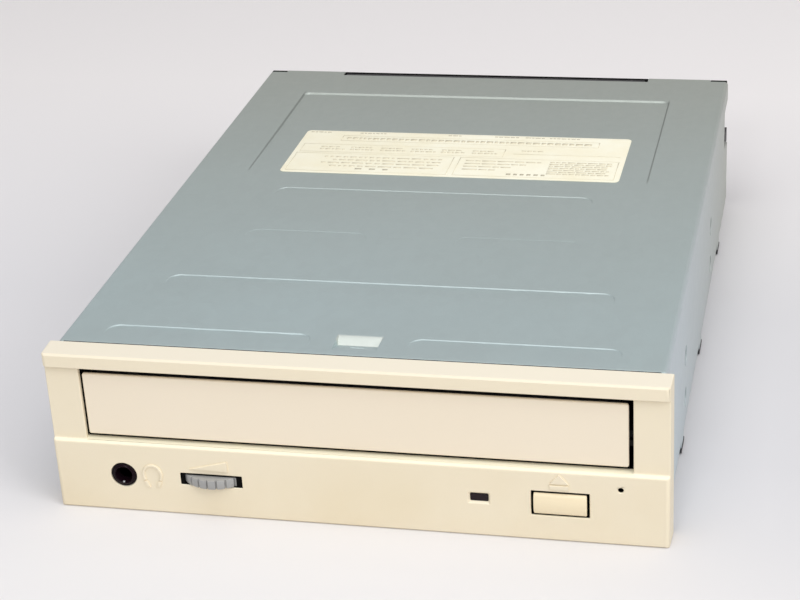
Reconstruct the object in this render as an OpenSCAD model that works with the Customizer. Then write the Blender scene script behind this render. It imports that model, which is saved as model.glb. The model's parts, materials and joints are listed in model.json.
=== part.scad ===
// Tray-loading optical disc drive for a half-height 5.25 inch bay, in millimetres.
// x runs to the right as seen from the front, y to the back and z up.

/* [Envelope] */
// Height of the bezel
bezel_h = 42; // [41.8:0.2:44]
// Depth of the bezel in front of the mounting plane
bezel_d = 7.2; // [6.8:0.2:9]
// Width over the side walls of the cover
cover_w = 146; // [140:0.2:160]
// Overhang of the bezel past each side of the cover
bezel_over = 1.5; // [1:0.1:3]
// Height of the cover's top face
cover_h = 41.6; // [41.2:0.2:43]
// Depth from the mounting plane to the rear tabs
cover_d = 194; // [182:0.5:212]
// Reach of the rear tabs behind the case
tab_out = 2.5; // [1.5:0.5:4]
// Thickness of the steel sheet
sheet = 0.8; // [0.6:0.1:0.9]

/* [Bezel] */
// Narrowing of each side of the bezel towards its front
bezel_taper = 0.2; // [0.1:0.1:1]
// Radius of the bezel's upright front corners
bezel_r = 1; // [0.6:0.1:1.2]
// Wall of the bezel moulding
bezel_wall = 2.2; // [1.8:0.1:2.4]
// Height of the brow over the tray mouth
brow_h = 3.6; // [2.6:0.2:4]
// Setback of the recessed field behind the brow
field_recess = 1.2; // [0.8:0.1:1.5]
// Height of the lower panel's front edge
ledge_z = 18.4; // [17:0.2:19.4]
// Gap between the tray door and the mouth
door_gap = 1.1; // [0.6:0.1:1.4]
// Thickness of the tray door
door_t = 2.5; // [2:0.1:3]

/* [Controls] */
// Distance of the headphone socket from the cover's left side
jack_in = 15.9; // [15:0.1:17]
// Radius of the socket's collar
jack_r = 3.1; // [2.8:0.1:3.4]
// Radius of the socket's bore
jack_bore = 1.8; // [1.6:0.1:2]
// Distance of the volume wheel from the cover's left side
wheel_in = 38; // [36:0.1:40]
// Radius of the volume wheel
wheel_r = 9.2; // [9:0.1:10.5]
// Thickness of the volume wheel
wheel_t = 2.6; // [2:0.1:3]
// Part of the wheel that stands out of the bezel
wheel_out = 2.2; // [1.4:0.1:2.6]
// Distance of the busy lamp from the cover's right side
led_in = 42.9; // [40:0.1:46]
// Distance of the eject button from the cover's right side
button_in = 23.9; // [22:0.1:26]
// Width of the eject button
button_w = 12.8; // [10:0.2:14]
// Height of the eject button
button_h = 5.8; // [5:0.1:6.2]
// Travel of the eject button
button_travel = 0.9; // [0.5:0.1:1]

/* [Bay mounting] */
// First threaded hole behind the mounting plane
hole_y = 47.4; // [45:0.1:49]
// Spacing of the threaded holes along the drive
hole_pitch = 79.24; // [76:0.02:81]
// Distance of the bottom holes from the cover's sides
hole_in = 3.15; // [3:0.05:6]
// Height of the lower side holes
side_low = 10; // [9:0.1:11]
// Height of the upper side holes
side_high = 21.84; // [20:0.02:21.9]
// Radius of the threaded holes
thread_r = 1.25; // [1:0.05:1.3]

/* [Tray] */
// Width of the guides and walls on each side of the tray
tray_in = 10.5; // [10:0.1:12]
// Rim of the tray beside the disc
tray_rim = 2.5; // [2:0.1:4]
// Depth of the drive that the tray keeps inside at full travel
tray_keep = 57.5; // [55:0.5:80]

/* [Loading drive] */
// Teeth of the pinion that drives the rack
pinion_teeth = 16; // [14:1:17]
// Teeth of the reduction gear
gear_teeth = 32; // [28:1:32]
// Teeth of the pulley's pinion
small_teeth = 12; // [12:1:14]
// Radius of the pulley's groove
pulley_r = 10; // [8:0.5:10.5]
// Radius of the motor pulley's groove
motor_pulley_r = 3; // [2.5:0.1:3.5]

/* [Mechanism] */
// Angle by which the mechanism drops to free the disc
lift_deg = 4; // [3:0.1:4.2]
// Travel of the cam slider
cam_travel = 20; // [16:0.5:21]
// Radius of the guide rods
rod_r = 1.5; // [1.2:0.1:1.6]
// Radius of the turntable
turntable_r = 15; // [13:0.5:16]
// Radius of the loading motor
motor_r = 10.5; // [9:0.5:11]

/* [Hidden] */
$fn = 40;
// running fit round a shaft, sliding fit beside a guide, seat between fixed pieces
run_fit = 0.06;
slide_fit = 0.4;
seat_fit = 0.1;

steel = [0.63, 0.67, 0.67];
cream = [0.93, 0.87, 0.75];
black = [0.10, 0.10, 0.11];
grey = [0.67, 0.67, 0.68];
white = [0.93, 0.93, 0.90];
board = [0.13, 0.36, 0.22];
gold = [0.83, 0.66, 0.28];

// widths that follow the cover
bezel_w = cover_w + 2 * bezel_over;
hole_span = cover_w - 2 * hole_in;
tray_w = cover_w - 2 * tray_in;
disc_d = tray_w - 2 * tray_rim;
jack_x = jack_in - cover_w / 2;
wheel_x = wheel_in - cover_w / 2;
led_x = cover_w / 2 - led_in;
button_x = cover_w / 2 - button_in;
hatch_x = cover_w / 2 - 9.9;
body_d = cover_d - tab_out;
tray_travel = body_d - tray_keep;

// the drive is centred over its whole depth, from the wheel to the rear tabs
front_y = -bezel_d - wheel_out;
y_mid = (front_y + cover_d) / 2;

// shells, from the outside in
cover_in = cover_w / 2 - sheet;
cover_side_z = 3.3;
bend_r = 1.6;
pan_out = cover_in - seat_fit;
pan_in = pan_out - sheet;
pan_y0 = 0.4;
pan_y1 = body_d - 0.5;
pan_h = side_high + 2.2;
top_in = cover_h - sheet;
bead_d = 0.5;

// gear train and cam slider, from the front to the back
rack_m = 1;
train_m = 0.8;
pinion_pr = rack_m * pinion_teeth / 2;
gear_pr = train_m * gear_teeth / 2;
small_pr = train_m * small_teeth / 2;
gear_y = 20;
cam_y0 = gear_y + gear_pr + 2.9;
cam_t = 3;
cam_y1 = cam_y0 + cam_t;

// bezel planes
field_y = -(bezel_d - field_recess);
panel_back = -(bezel_d - bezel_wall);
field_back = field_y + bezel_wall;
brow_z = bezel_h - brow_h;
mouth_z0 = ledge_z + 0.5;
door_z0 = mouth_z0 + door_gap + 0.4;
mouth_z1 = brow_z - 0.6;

// tray, its runners and the frame's guides
tray_half = tray_w / 2;
runner = 2.8;
runner_t = 2;
runner_half = tray_half + runner;
mouth_half = runner_half + 0.6;
guide_in = tray_half + slide_fit;
guide_x = runner_half + slide_fit;
frame_wall = 2.2;
frame_x = guide_x + frame_wall;
rib_x = pan_in - 0.4;
disc_r = disc_d / 2;
door_face = field_y + 0.3;
tray_y0 = door_face + door_t;
tray_z = door_z0 + 3.8;
// behind the door, and clear of the cam slider
disc_y = max(tray_y0 + disc_r + 9.2, cam_y1 + 27.3);
tray_y1 = disc_y + disc_r + 5;
tray_top = tray_z + 7;
floor_z = tray_z + 3;
small_floor_z = tray_z + 1.8;
arm_in = tray_half - 16.5;

// frame levels
frame_y0 = 0.6;
frame_y1 = body_d - 1.9;
frame_top = cover_h - sheet - bead_d - 0.4;
deck_z = tray_z - 10;
control_z = deck_z - 4.2;
led_z = control_z + 0.3;
deck_t = 1.8;
deck_top = deck_z + deck_t;
deck_y1 = body_d - 13.5;

// loading drive, all shafts upright
rack_x = 12.5 - tray_half;
gear_x = rack_x + pinion_pr;
train_a = -15;
pulley_x = gear_x + (gear_pr + small_pr) * cos(train_a);
pulley_y = gear_y + (gear_pr + small_pr) * sin(train_a);
motor_x = 8;
motor_y = 21;
belt_t = 1;
belt_fit = 0.15;
pulley_z = deck_top + 0.4;
train_z = pulley_z + 2.5;
pinion_z = train_z + 1.8;
pinion_top = tray_z - 0.6;
rack_z = pinion_z + 0.1;
rack_y0 = gear_y - 6;
rack_y1 = gear_y + tray_travel + 6;
tray_end = rack_y1 + 12;
tooth_gap = 0.08;
gear_post_r = 2;
pulley_post_r = 1.5;

// cam slider in front of the traverse
pin_x = 24;
pin_r = 1.5;
pin_fit = 0.25;
pivot_y = body_d - 33.5;
pivot_z = tray_z - 6.6;
pin_drop = (pivot_y - cam_y0 - cam_t / 2) * sin(lift_deg);
cam_z0 = pivot_z - pin_drop - 2.7;
cam_z1 = pivot_z + 2.8;
shelf_z = cam_z0 - 1.5;

// traverse frame and the base plate that it carries on dampers
ring_x = arm_in - 2;
ring_in = ring_x - 7.5;
ring_y0 = cam_y1 + 2.3;
ring_y1 = pivot_y + 4;
ring_z0 = pivot_z - 2.4;
ring_z1 = pivot_z + 2.6;
well_x = ring_x + 2;
well_y1 = ring_y1 + 4;
base_x = ring_in - 1;
base_y0 = ring_y0 + 8.5;
base_y1 = ring_y1 - 9.5;
base_z = pivot_z + 0.8;
base_t = 1.2;
tab_z = base_z - 2.4;
damper_x = base_x - 3.3;
damper_y0 = base_y0 + 4;
damper_y1 = base_y1 - 3.5;
damper_r = 3.6;
waist_r = 2.4;
damper_h = 6;
damper_bore = 1.5;

// spindle, pickup and sled drive
spindle_r = 11.5;
shaft_r = 1;
seat_z = tray_z + 4;
motor_z = seat_z - 15.2;
rod_x = base_x - 14.5;
rod_z = base_z - 2.2;
bay_x = rod_x + 6;
bay_y0 = disc_y + 13;
bay_y1 = damper_y1 - 10;
rod_y0 = disc_y + 7.5;
rod_y1 = bay_y1 + 4.4;
pickup_y = disc_y + 25;
pickup_x = rod_x - 4.5;
// the tray's slot clears the turntable and the pickup
slot_half = max(turntable_r + 2.5, pickup_x + 1);
pickup_l = 10;
pickup_z0 = base_z - 5;
pickup_z1 = base_z + 3;
pickup_travel = bay_y1 - pickup_y - pickup_l - 2.5;
lens_y = pickup_y - 2;
screw_x = rod_x + 8;
screw_r = 1.5;
sled_motor_r = 6;
sled_y0 = disc_y - 5.2;
sled_y1 = disc_y + 6;

// clamp over the tray
bridge_z = tray_top + 2.2;
bridge_t = 1;
clamp_r = 12.2;
clamp_z = seat_z + 2;

// circuit boards
board_t = 1.6;
front_top = control_z - 3.6;
front_z = front_top - board_t;
main_z = 4;
main_top = main_z + board_t;
leg_x = guide_x - 5.7;
leg_y0 = 28;
leg_y1 = disc_y + 24;
leg_r = 3.5;
main_x = guide_x - 2.7;
main_y0 = leg_y1 + 6;
main_y1 = body_d - 3.1;
plug_y1 = body_d - 0.8;
post_x = leg_x - 4;
post_y = leg_y0 - 11.5;
stand_x = leg_x - 2;
stand_y0 = main_y0 + 4;
stand_y1 = body_d - 18;
pin_pitch = 2.54;
pin_w = 0.64;
power_pitch = 5.08;
power_w = 21.4;
data_w = 58;
jumper_w = 8;
audio_w = 12.6;
power_x = power_w / 2 - main_x - 1.2;
audio_x = main_x - audio_w / 2 - 7.7;
plug_gap = (audio_x - power_x - power_w / 2 - data_w - jumper_w - audio_w / 2) / 3;
data_x = power_x + power_w / 2 + plug_gap + data_w / 2;
jumper_x = audio_x - audio_w / 2 - plug_gap - jumper_w / 2;

// helpers
module place() translate([0, -y_mid, 0]) children();

module both() {
    children();
    mirror([1, 0, 0]) children();
}

module block(lo, hi) translate(lo) cube(hi - lo);

module rod_along_x(x0, x1, y, z, r) translate([x0, y, z]) rotate([0, 90, 0]) cylinder(h = x1 - x0, r = r);

module rod_along_y(y0, y1, x, z, r) translate([x, y0, z]) rotate([-90, 0, 0]) cylinder(h = y1 - y0, r = r);

module rod_up(z0, z1, x, y, r) translate([x, y, z0]) cylinder(h = z1 - z0, r = r);

// a profile in y and z drawn out along x
module along_x(x0, x1) translate([x0, 0, 0]) rotate([90, 0, 90]) linear_extrude(height = x1 - x0) children();

// a profile in x and z drawn out along y
module along_y(y0, y1) translate([0, y1, 0]) rotate([90, 0, 0]) linear_extrude(height = y1 - y0) children();

module round_rect(w, h, r) {
    square([w, h - 2 * r], center = true);
    square([w - 2 * r, h], center = true);
    for (sx = [-1, 1], sy = [-1, 1]) translate([sx * (w / 2 - r), sy * (h / 2 - r)]) circle(r = r);
}

module round_slab(x0, x1, y0, y1, z0, z1, r)
    translate([(x0 + x1) / 2, (y0 + y1) / 2, z0])
        linear_extrude(height = z1 - z0) round_rect(x1 - x0, y1 - y0, r);

// straight slot between two points of a profile
module slot_2d(a, b, r) {
    d = b - a;
    translate(a) rotate(atan2(d[1], d[0])) translate([0, -r]) square([norm(d), 2 * r]);
    translate(a) circle(r = r);
    translate(b) circle(r = r);
}

// involute tooth flanks, in a few straight steps from root to tip
function roll(r, rb) = r <= rb ? 0 : sqrt(r * r / (rb * rb) - 1);
function inv_deg(r, rb) = roll(r, rb) * 180 / PI - atan(roll(r, rb));
function half_deg(r, m, n) =
    let (pr = m * n / 2, rb = pr * cos(20))
    90 / n - tooth_gap * 180 / (PI * pr) + inv_deg(pr, rb) - inv_deg(r, rb);
function tooth_radii(m, n) = [m * (n / 2 - 1.25), m * n / 2 * cos(20) + 0.02, m * n / 2, m * (n / 2 + 0.9)];
function tooth(m, n, at) =
    let (radii = tooth_radii(m, n))
    concat([for (r = radii) r * [cos(at - half_deg(r, m, n)), sin(at - half_deg(r, m, n))]],
           [for (i = [3 : -1 : 0])
               let (a = at + half_deg(radii[i], m, n)) radii[i] * [cos(a), sin(a)]]);

module gear_2d(m, n, at = 0)
    polygon([for (k = [0 : n - 1]) each tooth(m, n, at + k * 360 / n)]);

// rack teeth that point to +x, with a space at gear_y
module rack_2d() {
    p = PI * rack_m;
    n = floor((rack_y1 - rack_y0) / p);
    first = gear_y - p * (floor((gear_y - rack_y0) / p) - 0.5);
    tip = p / 4 - tooth_gap - rack_m * 0.9 * tan(20);
    root = p / 4 - tooth_gap + rack_m * 1.25 * tan(20);
    body_x = rack_x - 1.25 * rack_m;
    translate([body_x - 4, rack_y0]) square([4, rack_y1 - rack_y0]);
    for (k = [0 : n - 2])
        translate([0, first + k * p])
            polygon([[body_x - 1, -root], [body_x, -root], [rack_x + 0.9 * rack_m, -tip],
                     [rack_x + 0.9 * rack_m, tip], [body_x, root], [body_x - 1, root]]);
}

// pan-head screw that points down from its seat
module pan_screw(x, y, seat, end, r) {
    difference() {
        rod_up(seat, seat + r, x, y, 1.9 * r);
        for (a = [0, 90]) translate([x, y, seat + 0.6 * r]) rotate(a) cube([2.2 * r, 0.4 * r, r], center = true);
    }
    rod_up(end, seat, x, y, r);
}

// steel shells
module cover_outline(w, z0, z1, r) {
    translate([-w / 2, z0]) square([w, z1 - z0 - r]);
    translate([-w / 2 + r, z0]) square([w - 2 * r, z1 - z0]);
    for (s = [-1, 1]) translate([s * (w / 2 - r), z1 - r]) circle(r = r);
}

// pressed beads: x from the middle, far x, rear edge, depth along y
bead_l = 7;
bead_near = 12;
bead_mid = cover_w / 2 - 28.5;
bead_far = cover_w / 2 - 16;
bead_end = cover_w / 2 - 10;
beads = [[0, bead_mid, 0.502 * body_d, bead_l], [bead_near, bead_mid, 0.355 * body_d, bead_l],
    [0, bead_far, 0.19 * body_d, bead_l], [bead_near, bead_end, bead_l + 1.5, bead_l]];
panel_x = bead_far;
panel_y0 = 0.567 * body_d;
panel_y1 = body_d - 18.6;
label_x = panel_x - 8.7;
label_off = 0.7;
label_y0 = panel_y0 + 0.6;
label_y1 = label_y0 + 33.3;
label_t = 0.12;
label_z = cover_h - bead_d;
tab_x0 = cover_w / 2 - 24.5;
tab_x1 = cover_w / 2 - 5.5;
tab_h = 6;
// ears of the rear panel, which show at the back of each side
ear_y0 = body_d - 5;
ear_z0 = pan_h - 2;
ear_z1 = pan_h + 2.4;

module bead_shapes(grow, z0, z1) {
    for (b = beads)
        both() round_slab(b[0] > 0 ? b[0] - grow : -b[1] - grow, b[1] + grow, b[2] - b[3] - grow, b[2] + grow,
                          z0, z1, 3 + grow);
    round_slab(-panel_x - grow, panel_x + grow, panel_y0 - grow, panel_y1 + grow, z0, z1, 4 + grow);
}

// front catch: a steep-backed recess in the top, a little left of the middle
catch_x = -0.5;
catch_half = 5.4;
catch_d = 1.2;
catch_y = 10.2;
catch_run = 1.6;

module catch_wedge(y0, z, half)
    along_x(catch_x - half, catch_x + half)
        polygon([[y0, z - catch_d], [catch_y - catch_run, z - catch_d], [catch_y, z], [catch_y, z + 0.1], [y0, z + 0.1]]);

module top_cover() color(steel) place() difference() {
    union() {
        along_y(0.2, body_d - 0.1) difference() {
            cover_outline(cover_w, cover_side_z, cover_h, bend_r);
            cover_outline(cover_w - 2 * sheet, cover_side_z - 1, top_in, bend_r - sheet);
        }
        both() block([tab_x0, body_d - 4, top_in], [tab_x1, cover_d, cover_h]);
        both() block([tab_x0, cover_d - sheet, cover_h - tab_h], [tab_x1, cover_d, cover_h]);
        for (y = [0.19, 0.47, 0.81] * body_d)
            both() block([cover_in, y, 0.9], [cover_w / 2, y + 6, cover_side_z + 1]);
        bead_shapes(0.4, top_in - bead_d, top_in + 0.1);
        translate([0, 0.4, 0]) catch_wedge(-0.2, top_in, catch_half + 0.8);
    }
    bead_shapes(0, cover_h - bead_d, cover_h + 1);
    catch_wedge(0.1, cover_h, catch_half);
    block([-1.4, 5.9, top_in - 2], [2, 6.6, cover_h]);
    for (y = [hole_y, hole_y + hole_pitch], z = [side_low, side_high])
        both() rod_along_x(cover_in - 1, cover_w / 2 + 1, y, z, 2.6);
    block([-tab_x0, body_d - 2.5, top_in - 1], [tab_x0, body_d + 1, cover_h + 1]);
    both() block([cover_in - 1, body_d - 20, pan_h], [cover_w / 2 + 1, cover_d, cover_h - tab_h + 0.4]);
    both() block([cover_in - 1, ear_y0 - 0.3, ear_z0 - 0.2], [cover_w / 2 + 1, cover_d, pan_h + 0.1]);
}

module cover_label() color(white) place()
    round_slab(label_off - label_x, label_off + label_x, label_y0, label_y1, label_z, label_z + label_t, 1.5);

vent_y = body_d - 59.5;

module bottom_pan() color(steel) place() difference() {
    union() {
        block([-pan_out, pan_y0, 0], [pan_out, pan_y1, sheet]);
        both() block([pan_in, pan_y0, 0], [pan_out, pan_y1, pan_h]);
        block([-pan_out, pan_y1 - sheet, 0], [pan_out, pan_y1, 3.4]);
        both() block([guide_x - 1.3, pan_y1 - sheet, 0], [pan_out, pan_y1, deck_top + 1]);
        both() for (y = [stand_y0, stand_y1]) rod_up(0, main_z, stand_x, y, 3.2);
    }
    both() for (y = [hole_y, hole_y + hole_pitch]) {
        rod_up(-1, sheet + 1, hole_span / 2, y, thread_r);
        for (z = [side_low, side_high]) rod_along_x(pan_in - 1, pan_out + 1, y, z, thread_r);
    }
    both() for (y = [stand_y0, stand_y1]) rod_up(-1, main_z + 1, stand_x, y, 1.45);
    both() for (y = [leg_y0, leg_y1])
        translate([leg_x, y, 0]) {
            cylinder(h = sheet, r1 = 2.8, r2 = 1.6);
            translate([0, 0, -1]) cylinder(h = 3, r = 1.6);
        }
    both() block([pan_in - 1, 4.2, control_z - 0.4], [pan_out + 1, 8.2, control_z + 6.4]);
    both() block([pan_in - 1, ear_y0 - 0.3, ear_z0 - 0.2], [pan_out + 1, body_d + 1, pan_h + 1]);
    for (i = [-3 : 3], j = [0, 1])
        round_slab(i * 9 - 2, i * 9 + 2, vent_y + 20 * j, vent_y + 16 + 20 * j, -1, sheet + 1, 1.5);
    round_slab(-20, 20, disc_y - 10, disc_y + 10, -1, sheet + 1, 4);
}

// front
module bezel_profile(e)
    polygon([[0, 0], [-bezel_d + e, 0], [-bezel_d, e], [-bezel_d, ledge_z], [field_y, ledge_z + 0.5],
             [field_y, brow_z], [-bezel_d, brow_z], [-bezel_d, bezel_h - e], [-bezel_d + e, bezel_h], [0, bezel_h]]);

module front_bezel() color(cream) place() difference() {
    half = bezel_w / 2;
    front_half = half - bezel_taper;
    inner = front_half - bezel_wall;
    corner_x = front_half - bezel_r;
    corner_y = bezel_r - bezel_d;
    union() {
        difference() {
            intersection() {
                along_x(-half, half) bezel_profile(0.5);
                translate([0, 0, -1]) linear_extrude(height = bezel_h + 2) {
                    polygon([[-half, 1], [-half, -0.6], [-front_half, corner_y], [-corner_x, corner_y],
                             [-corner_x, -bezel_d - 0.1], [corner_x, -bezel_d - 0.1], [corner_x, corner_y],
                             [front_half, corner_y], [half, -0.6], [half, 1]]);
                    for (s = [-1, 1]) translate([s * corner_x, corner_y]) circle(r = bezel_r);
                }
            }
            block([-inner, field_back, bezel_wall], [inner, 1, bezel_h - bezel_wall]);
            block([-inner, panel_back, bezel_wall], [inner, 1, ledge_z - 2]);
        }
        both() hook_arm();
    }
    block([-mouth_half, -bezel_d - 1, mouth_z0], [mouth_half, 1, mouth_z1]);
    rod_along_y(-bezel_d - 1, 0, jack_x, control_z, jack_r + 0.15);
    rod_up(control_z - wheel_t / 2 - 0.3, control_z + wheel_t / 2 + 0.3, wheel_x, front_y + wheel_r, wheel_r + 1.1);
    block([led_x - 2.2, -bezel_d - 1, led_z - 1.1], [led_x + 2.2, 0, led_z + 1.1]);
    lamp_bevel();
    block([button_x - button_w / 2 - 0.4, -bezel_d - 1, control_z - button_h / 2 - 0.4],
          [button_x + button_w / 2 + 0.4, 0, control_z + button_h / 2 + 0.4]);
    rod_along_y(-bezel_d - 1, 0, hatch_x, control_z + 4.8, 0.65);
}

// sloped frame round the lamp window
lamp_edge = 0.5;

module lamp_bevel() intersection() {
    y0 = -bezel_d - 0.1;
    y1 = y0 + lamp_edge + 0.1;
    w = lamp_edge + 0.1;
    along_x(led_x - 4, led_x + 4)
        polygon([[y0, led_z - 1.1 - w], [y1, led_z - 1.1], [y1, led_z + 1.1], [y0, led_z + 1.1 + w]]);
    translate([0, 0, led_z - 3]) linear_extrude(height = 6)
        polygon([[led_x - 2.2 - w, y0], [led_x + 2.2 + w, y0], [led_x + 2.2, y1], [led_x - 2.2, y1]]);
}

module hook_arm() {
    x1 = pan_in - 1;
    block([x1 - 1.6, panel_back - 0.5, control_z], [x1, 8, control_z + 6]);
    translate([0, 0, control_z]) linear_extrude(height = 6)
        polygon([[x1 - 0.5, 4.5], [pan_out - 0.2, 4.5], [pan_out - 0.2, 5], [x1, 8], [x1 - 0.5, 8]]);
}

module tray_door() color(cream) place() {
    z0 = door_z0;
    z1 = mouth_z1 - door_gap;
    half = mouth_half - door_gap;
    along_x(-half, half)
        polygon([[door_face, z0 + 0.5], [door_face + 0.5, z0], [tray_y0, z0], [tray_y0, z1], [door_face + 0.5, z1],
                 [door_face, z1 - 0.5]]);
    both() block([lug_x - 3, tray_y0, tray_z + 1], [lug_x + 3, tray_y0 + 2.4, tray_z + 3]);
}

// moving tray
lug_x = 40;
finger_x = disc_r - 22;

module disc_tray() color(black) place() difference() {
    well_r = disc_r + 0.6;
    union() {
        block([-tray_half, tray_y0, tray_z], [tray_half, tray_y1, tray_top]);
        block([-tray_half, tray_y0, tray_z - 3.1], [tray_half, tray_y0 + 2.4, mouth_z1 - 2.2]);
        both() block([arm_in, tray_y1 - 1, tray_z], [tray_half, tray_end, tray_z + 4]);
        both() block([tray_half - 1, tray_y0 + 4, tray_z], [runner_half, tray_end, tray_z + runner_t]);
        translate([0, 0, rack_z]) linear_extrude(height = tray_z - rack_z + 0.5) rack_2d();
    }
    rod_up(floor_z, tray_top + 1, 0, disc_y, well_r);
    rod_up(small_floor_z, tray_top + 1, 0, disc_y, disc_r * 2 / 3 + 0.6);
    rod_up(tray_z - 1, tray_top + 1, 0, disc_y, slot_half);
    block([-slot_half, disc_y, tray_z - 1], [slot_half, tray_y1 + 1, tray_top + 1]);
    for (s = [-1, 1]) rod_up(floor_z, tray_top + 1, s * finger_x, disc_y - well_r + 8, 12);
    for (y = [[tray_y0 + 4.4, disc_y - 30], [disc_y + 30, tray_y1 - 2]])
        both() difference() {
            block([finger_x - 12, y[0], tray_z - 1], [tray_half - 1.8, y[1], tray_top - 2]);
            rod_up(tray_z - 2, tray_top, 0, disc_y, well_r + 1.6);
            rod_up(tray_z - 2, tray_top, finger_x, disc_y - well_r + 8, 13.6);
            block([0, y[0] - 1, tray_z - 2], [-rack_x + 7, y[1] + 1, tray_z + 1.2]);
        }
    both() block([lug_x - 3 - seat_fit, tray_y0 - 1, tray_z + 1 - seat_fit],
                 [lug_x + 3 + seat_fit, tray_y0 + 2.4, tray_z + 3 + seat_fit]);
}

// loader frame
module frame_side() {
    low = tray_z - slide_fit;
    high = tray_z + runner_t + slide_fit;
    block([guide_x, frame_y0, sheet], [frame_x, frame_y1, frame_top]);
    for (y = [[frame_y0, hole_y - 5], [hole_y + 5, hole_y + hole_pitch - 5],
              [hole_y + hole_pitch + 5, frame_y1]])
        block([guide_in, y[0], low - 1.6], [guide_x + 1, y[1], low]);
    for (y = [10, disc_y + 22, frame_y1 - 42])
        block([guide_in, y, high], [guide_x + 1, y + 16, high + 1.6]);
    for (y = [20, disc_y + 10, hole_y + 54, frame_y1 - 40, frame_y1 - 12])
        block([frame_x - 1, y, sheet], [rib_x, y + 1.6, frame_top - 4]);
    block([leg_x - 1, disc_y - 12, bridge_z - 1.6], [guide_x + 1, disc_y + 12, bridge_z]);
    for (y = [leg_y0, leg_y1]) rod_up(sheet, deck_z + 0.5, leg_x, y, leg_r);
    rod_up(front_top, deck_z + 0.5, post_x, post_y, 3);
}

module main_frame() color(black) place() difference() {
    union() {
        both() frame_side();
        difference() {
            block([-guide_x - 1, frame_y0, deck_z], [guide_x + 1, deck_y1, deck_top]);
            block([-well_x, cam_y0 - 0.3, deck_z - 1], [well_x, well_y1, deck_top + 1]);
            block([-guide_x + 1, cam_y0 - 0.3, deck_z - 1], [guide_x, cam_y1 + 1.5, deck_top + 1]);
            both() round_slab(well_x + 4, guide_x - 3.7, leg_y1 + 8, pivot_y - 12, deck_z - 1, deck_top + 1, 3);
        }
        block([-guide_x - 1, cam_y0 - 1.9, shelf_z], [guide_x + 1, cam_y0 - 0.3, deck_top]);
        block([-guide_x - 1, cam_y0 - 1.9, shelf_z], [guide_x + 1, cam_y1 + 1.5, shelf_z + 1.2]);
        block([-guide_x - 1, cam_y1 + 0.3, shelf_z], [guide_x + 1, cam_y1 + 1.5, shelf_z + 2.2]);
        both() block([well_x + 0.4, pivot_y - 4.5, deck_z], [well_x + 5.4, pivot_y + 4.5, pivot_z + 3]);
        rod_up(deck_z, pinion_top + 0.2, gear_x, gear_y, gear_post_r);
        rod_up(deck_z, train_z + 2.2, pulley_x, pulley_y, pulley_post_r);
    }
    both() for (y = [hole_y, hole_y + hole_pitch], z = [side_low, side_high])
        rod_along_x(guide_x - 1, frame_x + 1, y, z, thread_r + 0.7);
    both() rod_along_x(well_x, well_x + 6, pivot_y, pivot_z, pin_r + run_fit);
    both() for (y = [leg_y0, leg_y1]) rod_up(0, deck_z - 4, leg_x, y, 1.45);
    both() rod_up(front_top - 1, deck_z - 2, post_x, post_y, 1.15);
    both() rod_up(bridge_z - 3, bridge_z + 1, leg_x + 2.4, disc_y, 1.05);
    rod_up(deck_z - 1, deck_top + 1, motor_x, motor_y, 4.6);
    for (s = [-1, 1]) rod_up(deck_z - 1, deck_top + 1, motor_x, motor_y + s * 8, 1.25);
    block([hatch_x - 1.2, frame_y0 - 1, deck_z - 1], [hatch_x + 1.2, cam_y0, deck_top + 1]);
}

module rear_panel() color(black) place() {
    low = deck_top + 2;
    high = cover_h - tab_h - 0.6;
    block([-frame_x, frame_y1, low], [frame_x, body_d - 0.1, high]);
    block([1 - tab_x0, body_d - 2.4, high - 2], [tab_x0 - 1, body_d - 0.1, cover_h - 0.1]);
    both() {
        block([frame_x - 1, frame_y1, ear_z0], [frame_x + 1, body_d - 0.1, ear_z1]);
        block([frame_x + 0.3, ear_y0, ear_z0], [cover_w / 2 - 0.2, body_d + 0.8, ear_z1]);
        block([frame_x + 0.8, body_d, ear_z0], [pan_in - 0.6, body_d + 0.8, cover_h - 0.3]);
    }
}

module clamp_bridge() color(steel) place() difference() {
    union() {
        block([0.3 - guide_x, disc_y - 12, bridge_z], [guide_x - 0.3, disc_y + 12, bridge_z + bridge_t]);
        rod_up(bridge_z, bridge_z + bridge_t, 0, disc_y, clamp_r + 8);
        for (y = [disc_y - 12, disc_y + 11])
            both() block([clamp_r + 8, y, bridge_z], [guide_x - 8, y + 1, bridge_z + 2.6]);
    }
    rod_up(bridge_z - 1, bridge_z + 2, 0, disc_y, clamp_r + 0.6);
    both() rod_up(bridge_z - 1, bridge_z + 2, leg_x + 2.4, disc_y, 1.2);
    both() round_slab(28, 44, disc_y - 5, disc_y + 5, bridge_z - 1, bridge_z + 2, 3);
}

module bridge_screws() color(steel) place()
    both() pan_screw(leg_x + 2.4, disc_y, bridge_z + bridge_t, bridge_z - 1.4, 1);

module clamper() color(white) place() translate([0, disc_y, 0]) rotate_extrude()
    polygon([[0, clamp_z + 1.7], [8.3, clamp_z + 1.7], [8.6, clamp_z], [clamp_r, clamp_z],
             [clamp_r, bridge_z + bridge_t + 0.2], [clamp_r + 3.8, bridge_z + bridge_t + 0.2],
             [clamp_r + 3.8, bridge_z + bridge_t + 1.6], [7.2, bridge_z + bridge_t + 1.6],
             [7.2, clamp_z + 3], [0, clamp_z + 3]]);

module clamper_magnet() color(grey) place() rod_up(clamp_z + 3, bridge_z + bridge_t + 1, 0, disc_y, 7.1);

// loading drive
motor_foot = sheet + 2;

module loading_motor() color(steel) place() difference() {
    union() {
        rod_up(motor_foot, deck_z, motor_x, motor_y, motor_r);
        rod_up(motor_foot - 1, motor_foot + 1, motor_x, motor_y, 3);
        rod_up(deck_z - 1, deck_z + 1.2, motor_x, motor_y, 3.4);
    }
    rod_up(motor_foot + 3.2, deck_top, motor_x, motor_y, shaft_r + run_fit);
    for (s = [-1, 1]) rod_up(deck_z - 3, deck_z + 1, motor_x, motor_y + s * 8, 1.15);
}

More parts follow.
